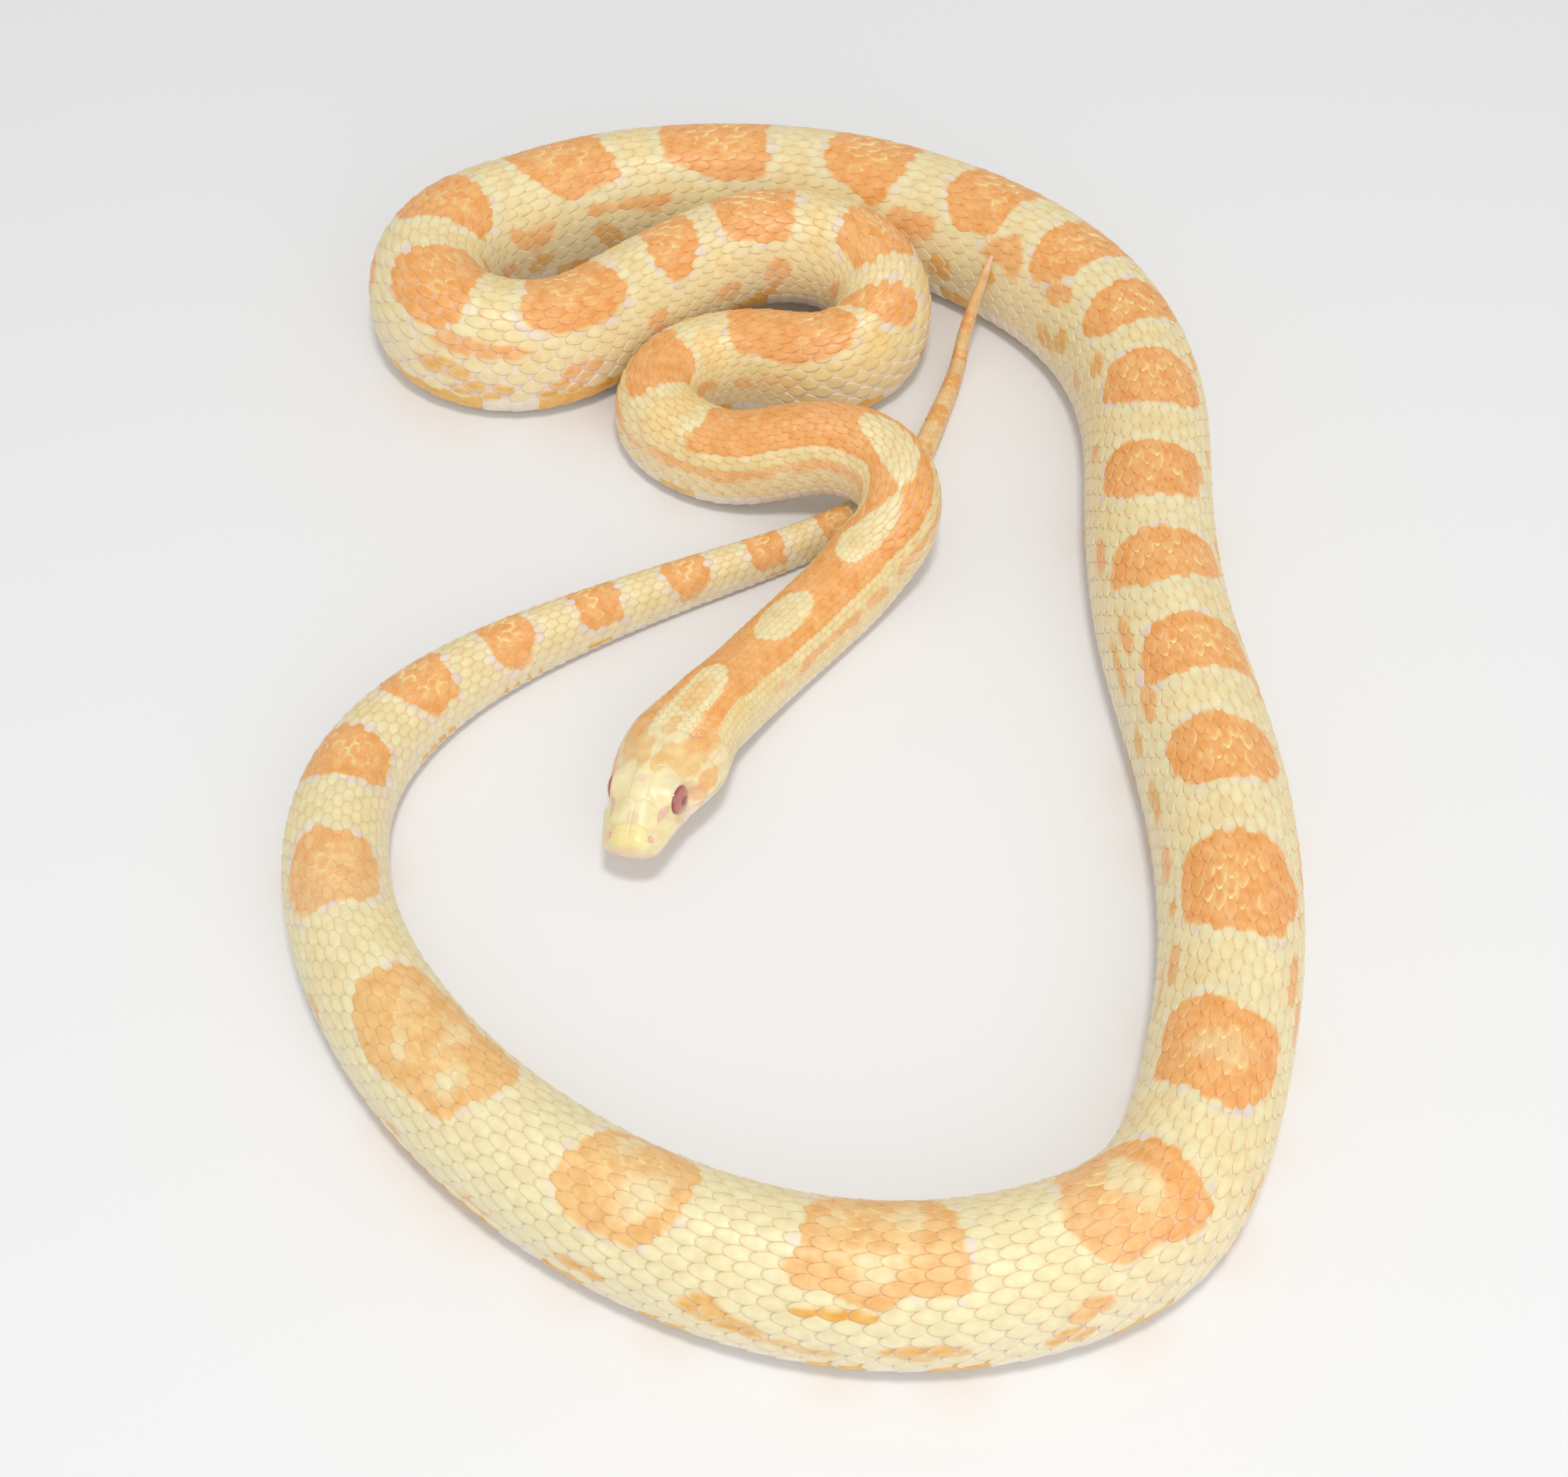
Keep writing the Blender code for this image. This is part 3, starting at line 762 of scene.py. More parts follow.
# %% Pigments
CREAM = (0.900, 0.840, 0.520, 1)
GOLD = (0.960, 0.700, 0.270, 1)
ORANGE = (0.940, 0.400, 0.085, 1)
AMBER = (0.860, 0.440, 0.035, 1)
WHITE = (0.890, 0.800, 0.720, 1)
LILAC = (0.860, 0.730, 0.740, 1)
RIM = (0.870, 0.750, 0.700, 1)
STREAK = (1.000, 0.780, 0.360, 1)
LOBE = (0.890, 0.520, 0.150, 1)
BETWEEN = (0.850, 0.470, 0.220, 1)
PIGMENTS = (
    # name of the mask, colour laid over what is there
    ("gold", GOLD), ("belly", WHITE), ("lobe", LOBE), ("pale", RIM), ("amber", AMBER),
    ("orange", ORANGE),
)
LIGHTER, LIGHTER_SHARE = (1, 0.90, 0.55, 1), 0.22
DARKER = (0.90, 0.85, 0.80, 1)
print(len(PIGMENTS), "pigments over cream")

# %% [markdown]
# A material is a graph of nodes. A few small functions place the nodes used
# most, and link each input to a socket or set it to a plain value, so that the
# recipes below read like formulas.

# %% Node helpers
def new_group(name, inputs, outputs):
    """Shader node group with named sockets; inputs are (name, type, default)."""
    group = bpy.data.node_groups.new(name, "ShaderNodeTree")
    for label, kind, default in inputs:
        socket = group.interface.new_socket(label, in_out="INPUT", socket_type=kind)
        if default is not None:
            socket.default_value = default
    for label, kind in outputs:
        group.interface.new_socket(label, in_out="OUTPUT", socket_type=kind)
    group.nodes.new("NodeGroupInput").name = "in"
    group.nodes.new("NodeGroupOutput").name = "out"
    return group


def feed(tree, item, socket):
    """Link a socket of another node to this one, or set it to a value."""
    if isinstance(item, bpy.types.NodeSocket):
        tree.links.new(item, socket)
    else:
        socket.default_value = item


def add_mix(tree, factor, first, second, blend="MIX"):
    """Colour mix node; each input is a socket to link or a value to set."""
    node = tree.nodes.new("ShaderNodeMix")
    node.data_type = "RGBA"
    node.blend_type = blend
    node.clamp_factor = True
    for index, item in ((0, factor), (6, first), (7, second)):
        feed(tree, item, node.inputs[index])
    return node.outputs[2]


def add_math(tree, operation, *items):
    """Math node; each item is a socket to link or a number to set."""
    node = tree.nodes.new("ShaderNodeMath")
    node.operation = operation
    for index, item in enumerate(items):
        feed(tree, item, node.inputs[index])
    return node.outputs[0]


def times(tree, first, second):
    """Product of two values."""
    return add_math(tree, "MULTIPLY", first, second)


def line(tree, value, slope, start):
    """start + slope * value."""
    return add_math(tree, "MULTIPLY_ADD", value, slope, start)


def add_noise(tree, scale, detail=3.0):
    """Noise on object coordinates, features about 1 / scale metres across."""
    place = tree.nodes.new("ShaderNodeTexCoord").outputs["Object"]
    node = tree.nodes.new("ShaderNodeTexNoise")
    tree.links.new(place, node.inputs["Vector"])
    node.inputs["Scale"].default_value = scale
    node.inputs["Detail"].default_value = detail
    return node.outputs["Fac"]


def attribute(tree, name):
    """Value of a mesh attribute."""
    node = tree.nodes.new("ShaderNodeAttribute")
    node.attribute_name = name
    return node.outputs["Fac"]


print("node helpers ready")

# %% [markdown]
# Both the bare skin and the scales use one recipe for colour. The masks of the
# pattern arrive as attributes of the mesh, and the recipe lays each pigment
# over what is there, with edges and tone mottled by noise. Because several
# materials need it, it is a node group.

# %% The pattern as a node group
MOTTLE_SCALE, MOTTLE_DEPTH = 900.0, 0.2
TONE_SCALE, TONE_DEPTH = 380.0, 2.4


def build_pattern():
    """Colour = cream under each pigment in turn, then mottled by noise."""
    masks = [(name, "NodeSocketFloat", 0.0) for name, _ in PIGMENTS]
    group = new_group("snake_pattern", masks + [("tone", "NodeSocketFloat", 0.5)],
                      [("Colour", "NodeSocketColor")])
    inside = group.nodes["in"].outputs
    mottle = line(group, add_noise(group, MOTTLE_SCALE), MOTTLE_DEPTH, -MOTTLE_DEPTH / 2)
    colour = CREAM
    for name, pigment in PIGMENTS:
        edge = add_math(group, "ADD", inside[name], mottle)
        colour = add_mix(group, times(group, edge, inside[name]), colour, pigment)
    clouds = line(group, add_noise(group, TONE_SCALE, 4.0), TONE_DEPTH, -TONE_DEPTH / 2)
    lighter = add_mix(group, LIGHTER_SHARE, colour, LIGHTER)
    darker = add_mix(group, 1.0, colour, DARKER, "MULTIPLY")
    colour = add_mix(group, add_math(group, "ADD", inside["tone"], clouds), darker, lighter)
    group.links.new(colour, group.nodes["out"].inputs["Colour"])
    return group


PATTERN = build_pattern()
print("pattern group with", len(PATTERN.nodes), "nodes")

# %% [markdown]
# The finishes differ in little. Scales are smooth and slightly glossy, with a
# darker free edge, a pale one on the flank and yellow flecks inside the
# saddles. The skin between them is duller and washed with lilac. Light goes a
# little way into both, which is what makes them look alive.

# %% Finishes of the scales and the skin
COAT_ROUGHNESS = 0.25
GLOW_RADIUS, GLOW_DEPTH = (1.0, 0.5, 0.3), 0.0012
FLECK_SCALE = 420.0


def new_finish(name, roughness, coat, glow=0.0):
    """Principled material; returns it, its tree and its shader."""
    material = bpy.data.materials.new(name)
    material.use_nodes = True
    shader = material.node_tree.nodes["Principled BSDF"]
    for label, value in (
            ("Roughness", roughness), ("Coat Weight", coat), ("Coat Roughness", COAT_ROUGHNESS),
            ("Subsurface Weight", glow), ("Subsurface Radius", GLOW_RADIUS),
            ("Subsurface Scale", GLOW_DEPTH)):
        shader.inputs[label].default_value = value
    return material, material.node_tree, shader


def pattern_colour(tree):
    """The pattern group fed by the piece's own attributes."""
    node = tree.nodes.new("ShaderNodeGroup")
    node.node_tree = PATTERN
    for socket in node.inputs:
        tree.links.new(attribute(tree, socket.name), socket)
    return node.outputs["Colour"]


def add_bump(tree, shader, height, strength, distance):
    """Bump from a height socket into the shader's normal."""
    node = tree.nodes.new("ShaderNodeBump")
    node.inputs["Strength"].default_value = strength
    node.inputs["Distance"].default_value = distance
    tree.links.new(height, node.inputs["Height"])
    tree.links.new(node.outputs["Normal"], shader.inputs["Normal"])


def scale_finish():
    """Scales: the pattern; darker by edge^2 toward the rim; STREAK where edge^2
    meets a fleck of noise inside a saddle; WHITE along the rim on the flank."""
    material, tree, shader = new_finish("scale_horn", 0.45, 0.06, 0.12)
    edge = attribute(tree, "edge")
    thin = add_math(tree, "POWER", edge, 2.0)
    colour = add_mix(tree, times(tree, thin, 0.30), pattern_colour(tree), BETWEEN)
    flecks = line(tree, add_noise(tree, FLECK_SCALE, 2.0), 6.0, -2.4)
    flecks = add_math(tree, "MAXIMUM", add_math(tree, "MINIMUM", flecks, 1.0), 0.0)
    streak = times(tree, times(tree, thin, flecks), attribute(tree, "core"))
    colour = add_mix(tree, streak, colour, STREAK)
    pale_edge = times(tree, times(tree, edge, attribute(tree, "flank")), 0.45)
    colour = add_mix(tree, pale_edge, colour, WHITE)
    tree.links.new(colour, shader.inputs["Base Color"])
    fine = add_noise(tree, 2600.0, 2.0)
    tree.links.new(line(tree, fine, 0.3, 0.27), shader.inputs["Roughness"])
    add_bump(tree, shader, fine, 0.12, 0.0002)
    return material


def skin_finish():
    """Bare skin between the scales: the pattern washed with LILAC, by 0.2 on
    the back and 0.6 on the flank."""
    material, tree, shader = new_finish("skin_between", 0.6, 0.0, 0.12)
    lilac = line(tree, attribute(tree, "flank"), 0.4, 0.2)
    colour = add_mix(tree, lilac, pattern_colour(tree), LILAC)
    tree.links.new(colour, shader.inputs["Base Color"])
    add_bump(tree, shader, add_noise(tree, 1800.0), 0.3, 0.0003)
    return material


SCALE_HORN = scale_finish()
SKIN_BETWEEN = skin_finish()
print("finishes", SCALE_HORN.name, "and", SKIN_BETWEEN.name)

# %% [markdown]
# The eye is a ball under a clear round scale. It looks out and a little
# forwards, and the head's coat closes round it in a thin even rim. The rim is
# made by pulling the grid to a flat ring about the eye's axis, and the socket
# by pushing what lies inside the ring deep into the head.

# %% Eyes and their sockets
EYE_STATION, EYE_ASIDE, EYE_HEIGHT = 14.0, 7.05, 7.3
EYE_RADIUS = 2.95
EYE_LOOKS_FORWARD, EYE_LOOKS_UP = 0.13, 0.06
EYE_SINK = 0.35
RIM_WIDTH = 2.3
RIDGE_HEIGHT, RIDGE_WIDTH = 0.12, 0.35
SOCKET_DEPTH = 2.6
SOCKET_REACH = 5.0


def eye_frame(side):
    """Middle of the eye's ring, its outward axis, and two axes across it."""
    s = np.array([EYE_STATION])
    x = np.array([[EYE_ASIDE, EYE_ASIDE + 1, EYE_ASIDE]]) * side
    z = np.array([[EYE_HEIGHT, EYE_HEIGHT, EYE_HEIGHT + 1]])
    middle, outer, above = stand(s, x, z)[0]
    ahead = -spine(s)[1][0]
    axis = unit(outer - middle + EYE_LOOKS_FORWARD * ahead + EYE_LOOKS_UP * (above - middle))
    across = unit(ahead - axis * (ahead @ axis))
    return middle, axis, across, np.cross(axis, across)


def press_socket(points, side, under=0.0):
    """Points of the head after the eye on one side is let in, and their
    distances from its axis: near the ring they move onto its plane, inside
    it they sink along the axis. A layer that lies under the outside is
    pressed that much deeper."""
    middle, axis, _, _ = eye_frame(side)
    away = points - (middle - under * axis)
    deep = away @ axis
    radius = np.linalg.norm(away - deep[..., None] * axis, axis=-1)
    flat = 1 - ease(radius, EYE_RADIUS + 0.1, EYE_RADIUS + RIM_WIDTH)
    ridge = RIDGE_HEIGHT * np.exp(-((radius - EYE_RADIUS - 0.3) / RIDGE_WIDTH) ** 2)
    sink = SOCKET_DEPTH * (1 - ease(radius, EYE_RADIUS - 0.55, EYE_RADIUS + 0.02))
    move = (ridge - deep * flat - sink) * (np.abs(deep) < SOCKET_REACH)
    return points + move[..., None] * axis, radius


print("left eye at", eye_frame(1)[0].round(1), "looking along", eye_frame(1)[1].round(2))

# %% [markdown]
# Under the coat lies one closed skin from the snout to the tip of the tail. It
# takes the place of every solid of flesh, so no joint between them shows. It is
# the surface moved inwards by the thickness of the coat, so that the scales
# that stand on it reach just to the outline of the solids.

# %% The skin
COAT_DEPTH = 0.45
THIN_END, THIN_LEAST = 60.0, 0.15
SKIN_COLUMNS = 96
SKIN_RINGS = (
    # from station, to station, rings
    (46, 320, 186), (320, 640, 214), (640, 960, 214), (960, LENGTH - 0.6, 235),
)
SKIN_TIP = (LENGTH - 0.4, LENGTH - 0.1)
FLESH = ["head", "lower_jaw", "neck", "neck_bend"]
FLESH += ["trunk_%d" % n for n in range(1, 13)] + ["tail_%d" % n for n in range(1, 5)]


def inset(station):
    """Depth of the skin under the outside: the coat's, less at the thin tip."""
    return COAT_DEPTH * np.clip((LENGTH + 2 - station) / THIN_END, THIN_LEAST, 1)


def skin_stations():
    """Stations of the rings: close together round the snout, then 0.6 to 1.5
    mm apart."""
    head = np.r_[nose_stations(np.linspace(0.1, 0.8, 9)), np.arange(1.5, SKIN_RINGS[0][0], 0.6)]
    body = [np.linspace(a, b, count, endpoint=False) for a, b, count in SKIN_RINGS]
    return np.concatenate((head, *body, SKIN_TIP))


def build_skin():
    """Closed tube: rings of the surface at P - depth N, with a cap at each end."""
    s, u = skin_stations(), np.linspace(-1, 1, SKIN_COLUMNS + 1)
    wide, _ = surface(s, u)
    normal, _ = outward(wide, s, u)
    points = wide - inset(s)[:, None, None] * normal
    for side in (1, -1):
        points, _ = press_socket(points, side, COAT_DEPTH)
    i, j = grid_quads(len(s), SKIN_COLUMNS + 1)
    faces = i * SKIN_COLUMNS + j % SKIN_COLUMNS
    strip = np.floor((s[i].min(axis=1) + 1e-6) / UV_STRIP)[:, None]
    uv = unwrap(s[i], u[j], strip)
    rings = points[:, :-1].reshape(-1, 3)
    count, last = len(rings), len(rings) - SKIN_COLUMNS
    front = fan(count, 0, SKIN_COLUMNS, -1)
    tip = fan(count + 1, last, SKIN_COLUMNS, -1)[:, ::-1]
    cap_uv = [np.broadcast_to(unwrap(station, 0.0, strip), front.shape + (2,))
              for station, strip in ((0.5, 0), (SKIN_TIP[1], 3))]
    fields = all_marks(np.repeat(s, SKIN_COLUMNS), np.tile(u[:-1], len(s)))
    fields = {key: np.r_[value, value[0], value[-1]] for key, value in fields.items()}
    fields["tone"] = np.full(count + 2, 0.5)
    rings = np.concatenate((rings, points[[0, -1]].mean(axis=1)))
    mesh_data = rings, np.concatenate((faces, front, tip)), fields, np.concatenate((uv, *cap_uv))
    make_piece("skin", mesh_data, SKIN_BETWEEN, FLESH)


build_skin()

# %% [markdown]
# A scale is a thin lozenge of horn, rooted at its front edge and free at its
# back edge, which lies over the roots of the next ones like a roof tile. One
# small grid is bent into that shape. It has few faces, because thousands of
# copies of it are made; the lines stand closest near the rim, where it bends.

# %% One scale
ACROSS_LINES = np.array([-1, -0.92, -0.74, 0, 0.74, 0.92, 1])
ALONG_LINES = np.array([-1, -0.65, -0.25, 0.1, 0.4, 0.66, 0.84, 0.94, 1])
TALL, BROAD = len(ALONG_LINES), len(ACROSS_LINES)
CORNERS = TALL * BROAD
END_START = -0.15
END_POWER = 0.72
ROOT_NARROWING = 0.4
LEAST_REACH = 0.12
SUNK = -0.3


def scale_template():
    """A tile 2 long and 2 wide: straight sides narrowing a little to the root,
    and a rounded free end of half width (1 - e^2)^0.72 with e running from 0
    to 1; returns along, across, height 0..1, and nearness to the rim 0..1.
    The rim and the root are turned down into the skin."""
    along, across = np.meshgrid(ALONG_LINES, ACROSS_LINES, indexing="ij")
    end = np.clip((along - END_START) / (1 - END_START), 0, 1)
    reach = np.maximum(1 - end ** 2, 0) ** END_POWER
    reach = reach * (1 - ROOT_NARROWING * np.clip(-along, 0, 1) ** 2)
    reach = np.maximum(reach, LEAST_REACH)
    rim = np.maximum(np.abs(across), np.where(along > 0, along, 0))
    height = 0.36 + 0.64 * (along + 1) / 2 - 0.12 * across ** 2
    height = np.where(rim > 0.99, height * 0.5 + SUNK, height)
    height = np.where(along < -0.99, SUNK, height)
    return along.ravel(), (across * reach).ravel(), height.ravel(), ease(rim, 0.3, 1.0).ravel()


T_ALONG, T_ACROSS, T_HEIGHT, T_EDGE = scale_template()
T_FACES = grid_faces(TALL, BROAD)
print("one scale has", 2 * len(T_FACES), "triangles")

# %% [markdown]
# The scales stand in slanting rows, each one opposite the gap between two of
# the row before. Rows are narrow on the back and wide low on the sides, there
# are fewer of them toward the tail, and where the head begins they end in a
# scalloped line against its plates.

# %% Where the scales stand
PITCH = (
    (24, 1.3), (34, 1.7), (50, 2.1), (70, 2.5), (100, 2.9), (170, 3.6), (250, 4.2), (400, 4.6),
    (600, 4.9), (850, 4.9), (1000, 4.4), (1060, 3.7), (1120, 3.0), (1180, 2.5), (1230, 2.1),
    (1281, 1.6),
)
ROWS = (
    (24, 22), (60, 23), (400, 23), (800, 23), (1000, 21), (1050, 19), (1080, 16.5),
    (1110, 14.5), (1150, 12.5), (1200, 10.5), (1240, 8.5), (1281, 7),
)
FLANK_EDGE = 0.625
MIDDLE_NARROWER = 0.82
CROWN_EDGE, LIP_EDGE = 24.6, 28.8
COUNT_STEP = 0.25
FIRST_SCALE, LAST_SCALE = 24.0, LENGTH - 2.5


def row_share(place):
    """Share of the half section of a row that is place (-1..1) of the way to
    the last one: E (k p + (1 - k) p |p|), narrow on the back, wide on the side."""
    return FLANK_EDGE * (MIDDLE_NARROWER * place + (1 - MIDDLE_NARROWER) * place * np.abs(place))


def coat_edge(share):
    """Station at which the plates of the head give way to scales: further back
    at the lips than on the crown, scalloped once for every two rows."""
    slant = ease(np.abs(share), 0.12, 0.42)
    return CROWN_EDGE + (LIP_EDGE - CROWN_EDGE) * slant + 0.4 * np.cos(55 * share)


def count_pitches(start, end):
    """Stations, and how many pitches lie before each: the sum of ds / pitch."""
    s = np.arange(start, end, COUNT_STEP)
    return s, np.r_[0, np.cumsum(COUNT_STEP / ramp(PITCH, s[:-1]))]


def scale_roots():
    """Stations and shares of every scale: a lattice with each second row
    moved by half a pitch."""
    s, index = count_pitches(FIRST_SCALE, LAST_SCALE)
    rows = np.arange(-14, 15)[:, None]
    number = np.arange(0, int(index[-1]))[None, :] + 0.5 * (rows % 2)
    station = np.interp(number, index, s)
    share = row_share(rows * 2 / ramp(ROWS, station))
    keep = (np.abs(share) < FLANK_EDGE + 0.012) & (station < LAST_SCALE - 0.5)
    keep = keep & (station > coat_edge(share) + 0.4)
    return station[keep], share[keep]


ROOT_S, ROOT_U = scale_roots()
print(len(ROOT_S), "scales")

# %% [markdown]
# On the outside of a bend the skin stretches and shows between the scales. On
# the inside it folds and the scales crowd. A scale itself keeps its size, so
# its length in body numbers is divided by how far the skin is stretched there.
# All copies of the tile are laid at once with array arithmetic, and joined into
# seven meshes. Each has its own seeded draw of small differences.

# %% Lay the scales
STREAK_CHANCE = 0.8
GATHER = 0.3
LONG_OVER_PITCH = 0.60
WIDE_OVER_ROW = ((30, 0.70), (250, 0.66), (900, 0.66), (1050, 0.80), (1281, 0.90))
SIZE_RANGE = (0.95, 1.04)
LIFT_RANGE = (0.9, 1.06)
KEEL_HEIGHT, KEEL_WIDTH = 0.10, 0.15
TONE_MIDDLE, TONE_SPREAD = 0.48, 0.07
UV_HALF = 0.0015
SCALE_PIECES = (
    ("scales_neck", 0, 187), ("scales_trunk_1", 187, 392), ("scales_trunk_2", 392, 570),
    ("scales_trunk_3", 570, 760), ("scales_trunk_4", 760, 960), ("scales_trunk_5", 960, 1110),
    ("scales_tail", 1110, 1290),
)


def scale_sizes(station, share, size):
    """Half length and half width of scales in body numbers: size times the
    pitch over the stretch, and size times the width of the row."""
    stretch = np.clip(on_map(MAP_STRETCH, station, share), 0.85, 1.5)
    half_long = LONG_OVER_PITCH * ramp(PITCH, station) * size / stretch
    wider = MIDDLE_NARROWER + 1.6 * (1 - MIDDLE_NARROWER) * np.abs(share) / FLANK_EDGE
    row_width = 2 * FLANK_EDGE / ramp(ROWS, station) * wider
    half_wide = ramp(WIDE_OVER_ROW, station) * row_width * size
    return half_long, half_wide * (1 + 0.15 * ease(np.abs(share), 0.2, 0.45))


def lay_scales(station, share, seed):
    """Points, faces, fields and UVs of one mesh of scales at the given roots.
    The points are P + height N, where height is lift (T + keel) - depth."""
    draw = np.random.default_rng(seed)
    count = len(station)
    half_long, half_wide = scale_sizes(station, share, draw.uniform(*SIZE_RANGE, count))
    s = station[:, None] + half_long[:, None] * T_ALONG
    u = share[:, None] + half_wide[:, None] * T_ACROSS
    depth = inset(station)
    lift = depth * draw.uniform(*LIFT_RANGE, count)
    keel = KEEL_HEIGHT * np.exp(-(T_ACROSS / KEEL_WIDTH) ** 2) * (1 - T_EDGE)
    keel = keel * (1 - ease(np.abs(share), 0.35, 0.55))[:, None]
    height = lift[:, None] * (T_HEIGHT + keel) - depth[:, None]
    points = on_map(MAP_P, s, u) + height[..., None] * on_map(MAP_N, s, u)
    near = [GATHER * root[:, None] + (1 - GATHER) * own
            for root, own in ((station, s), (share, u))]
    fields = {key: value.ravel() for key, value in all_marks(*near).items()}
    tone = np.clip(draw.normal(TONE_MIDDLE, TONE_SPREAD, count), 0, 1)
    fields["tone"] = np.repeat(tone, CORNERS)
    fields["edge"] = (T_EDGE * (1 + 0.35 * ease(station, 1000, 1080))[:, None]).ravel()
    fields["core"] = fields["core"] * np.repeat(draw.random(count) < STREAK_CHANCE, CORNERS)
    root = unwrap(station, share, np.floor(station / UV_STRIP))
    corner = root[:, None] + UV_HALF * np.stack((T_ALONG, T_ACROSS), -1)
    faces = (T_FACES[None] + (CORNERS * np.arange(count))[:, None, None]).reshape(-1, 4)
    return points.reshape(-1, 3), faces, fields, corner.reshape(-1, 2)[faces]


for number, (name, start, end) in enumerate(SCALE_PIECES):
    pick = (ROOT_S >= start) & (ROOT_S < end)
    scales = lay_scales(ROOT_S[pick], ROOT_U[pick], 100 + number)
    make_piece(name, scales, SCALE_HORN)

# %% [markdown]
# The belly carries one row of broad plates, each as wide as the whole
# underside, and its ends show as a pale line just above the floor, with an
# amber check here and there. Under the tail the plates come in pairs. A plate
# is a grid bowed a little backwards, laid in the same way as the scales.

# %% Shape of the belly plates
PLATE_LINES = np.array([-1, -0.86, -0.3, 0.3, 0.86, 1.0])[:, None]
PLATE_COLUMNS = 26
PLATE_ACROSS = np.linspace(-1, 1, PLATE_COLUMNS)[None, :]
PLATE_ACROSS = np.sign(PLATE_ACROSS) * np.abs(PLATE_ACROSS) ** 0.8
PLATE_POINTS = PLATE_LINES.size * PLATE_COLUMNS
PLATE_OVER_PITCH = 0.66
PLATE_BOW = 0.35
BELLY_SHARE = 1 - FLANK_EDGE + 0.02
TAIL_START = 1052.0
CHECK_CHANCE = 0.36


def plate_stations(start, end, offset=0.0):
    """Stations one scale pitch apart."""
    s, index = count_pitches(start, end)
    return np.interp(np.arange(0, int(index[-1])) + offset, index, s)


def plate_points(station, middle, half):
    """Points of plates round c = middle + half w under the belly, where c is 0
    at its middle; each rises from its front to its free back edge."""
    rim = np.maximum(np.abs(PLATE_LINES), np.abs(PLATE_ACROSS)) > 0.99
    height = 0.3 + 0.7 * (PLATE_LINES + 1) / 2
    height = np.where(rim, height * 0.4 + SUNK, height)
    bow = PLATE_BOW * (1 - PLATE_ACROSS ** 2)
    reach = PLATE_OVER_PITCH * ramp(PITCH, station)[:, None, None]
    s = station[:, None, None] + reach * (PLATE_LINES + bow - 0.15)
    c = middle[:, None, None] + half[:, None, None] * (PLATE_ACROSS + 0 * PLATE_LINES)
    u = np.where(c >= 0, 1 - c, -1 - c)
    sunk = inset(station)[:, None, None] * (height - 1)
    return on_map(MAP_P, s, u) + sunk[..., None] * on_map(MAP_N, s, u)


def plate_fields(station):
    """Masks of the plates: pale, with amber on the ends of those that stand
    below an amber blotch, and of some pairs of neighbours drawn at random."""
    count = len(station)
    here = marks(station, np.full(count, FLANK_EDGE))
    pairs = np.random.default_rng(5).random(count // 2 + 1) < CHECK_CHANCE
    check = np.repeat(pairs, 2)[:count] * ease(station, 120, 180)
    ends = np.repeat(ease(np.abs(PLATE_ACROSS), 0.58, 0.64), PLATE_LINES.size, axis=0).ravel()
    tone = np.random.default_rng(6).normal(0.6, 0.12, count)
    fields = {key: np.repeat(value, PLATE_POINTS) for key, value in here.items()}
    amber = np.repeat(np.maximum(check, here["amber"]), PLATE_POINTS)
    fields["amber"] = amber * np.tile(ends, count)
    fields["tone"] = np.repeat(np.clip(tone, 0, 1), PLATE_POINTS)
    fields["belly"] = np.ones(count * PLATE_POINTS)
    fields["orange"] = fields["edge"] = np.zeros(count * PLATE_POINTS)
    return fields


def lay_plates(station, low, high):
    """Points, faces, fields and UVs of plates at stations, from share low to
    share high round the belly."""
    middle, half = (np.full(len(station), value) for value in ((low + high) / 2, (high - low) / 2))
    face = grid_faces(PLATE_LINES.size, PLATE_COLUMNS)[:, ::-1]
    faces = (face[None] + PLATE_POINTS * np.arange(len(station))[:, None, None]).reshape(-1, 4)
    root = unwrap(station, 0.98 - 0.2 * np.abs(middle), np.floor(station / UV_STRIP))
    local = np.stack(np.broadcast_arrays(PLATE_LINES, PLATE_ACROSS), -1).reshape(-1, 2)
    uv = (root[:, None] + UV_HALF * local).reshape(-1, 2)[faces]
    points = plate_points(station, middle, half).reshape(-1, 3)
    return points, faces, plate_fields(station), uv


print("a plate has", 2 * len(grid_faces(PLATE_LINES.size, PLATE_COLUMNS)), "triangles")

# %% [markdown]
# One mesh holds the plates of the trunk. The paired ones under the tail are two
# meshes, left and right, set half a plate apart so that they meet in a zigzag.

# %% Lay the belly plates
TAIL_OVERLAP, TAIL_EDGE = 0.02, BELLY_SHARE + 0.03
belly = plate_stations(30.0, TAIL_START)
make_piece("belly_plates", lay_plates(belly, -BELLY_SHARE, BELLY_SHARE), SCALE_HORN)
for name, offset, low, high in (("tail_plates_left", 0.25, -TAIL_OVERLAP, TAIL_EDGE),
                                ("tail_plates_right", 0.75, -TAIL_EDGE, TAIL_OVERLAP)):
    under = plate_stations(TAIL_START, LENGTH - 3, offset)
    make_piece(name, lay_plates(under, low, high), SCALE_HORN)
print(len(belly), "plates on the trunk")

# %% [markdown]
# The head is the part that people look at, so its coat is one fine grid, not
# single scales. Its columns are fitted to the mouth: the portion runs from 0 on
# the crown to 1 at the lips and on to 2 under the chin, so that the mouth line
# lies along one column from end to end.

# %% Head map
COAT_END = 30.5
HEAD_STEP = 0.14
HEAD_UPPER, HEAD_LOWER = 92, 44


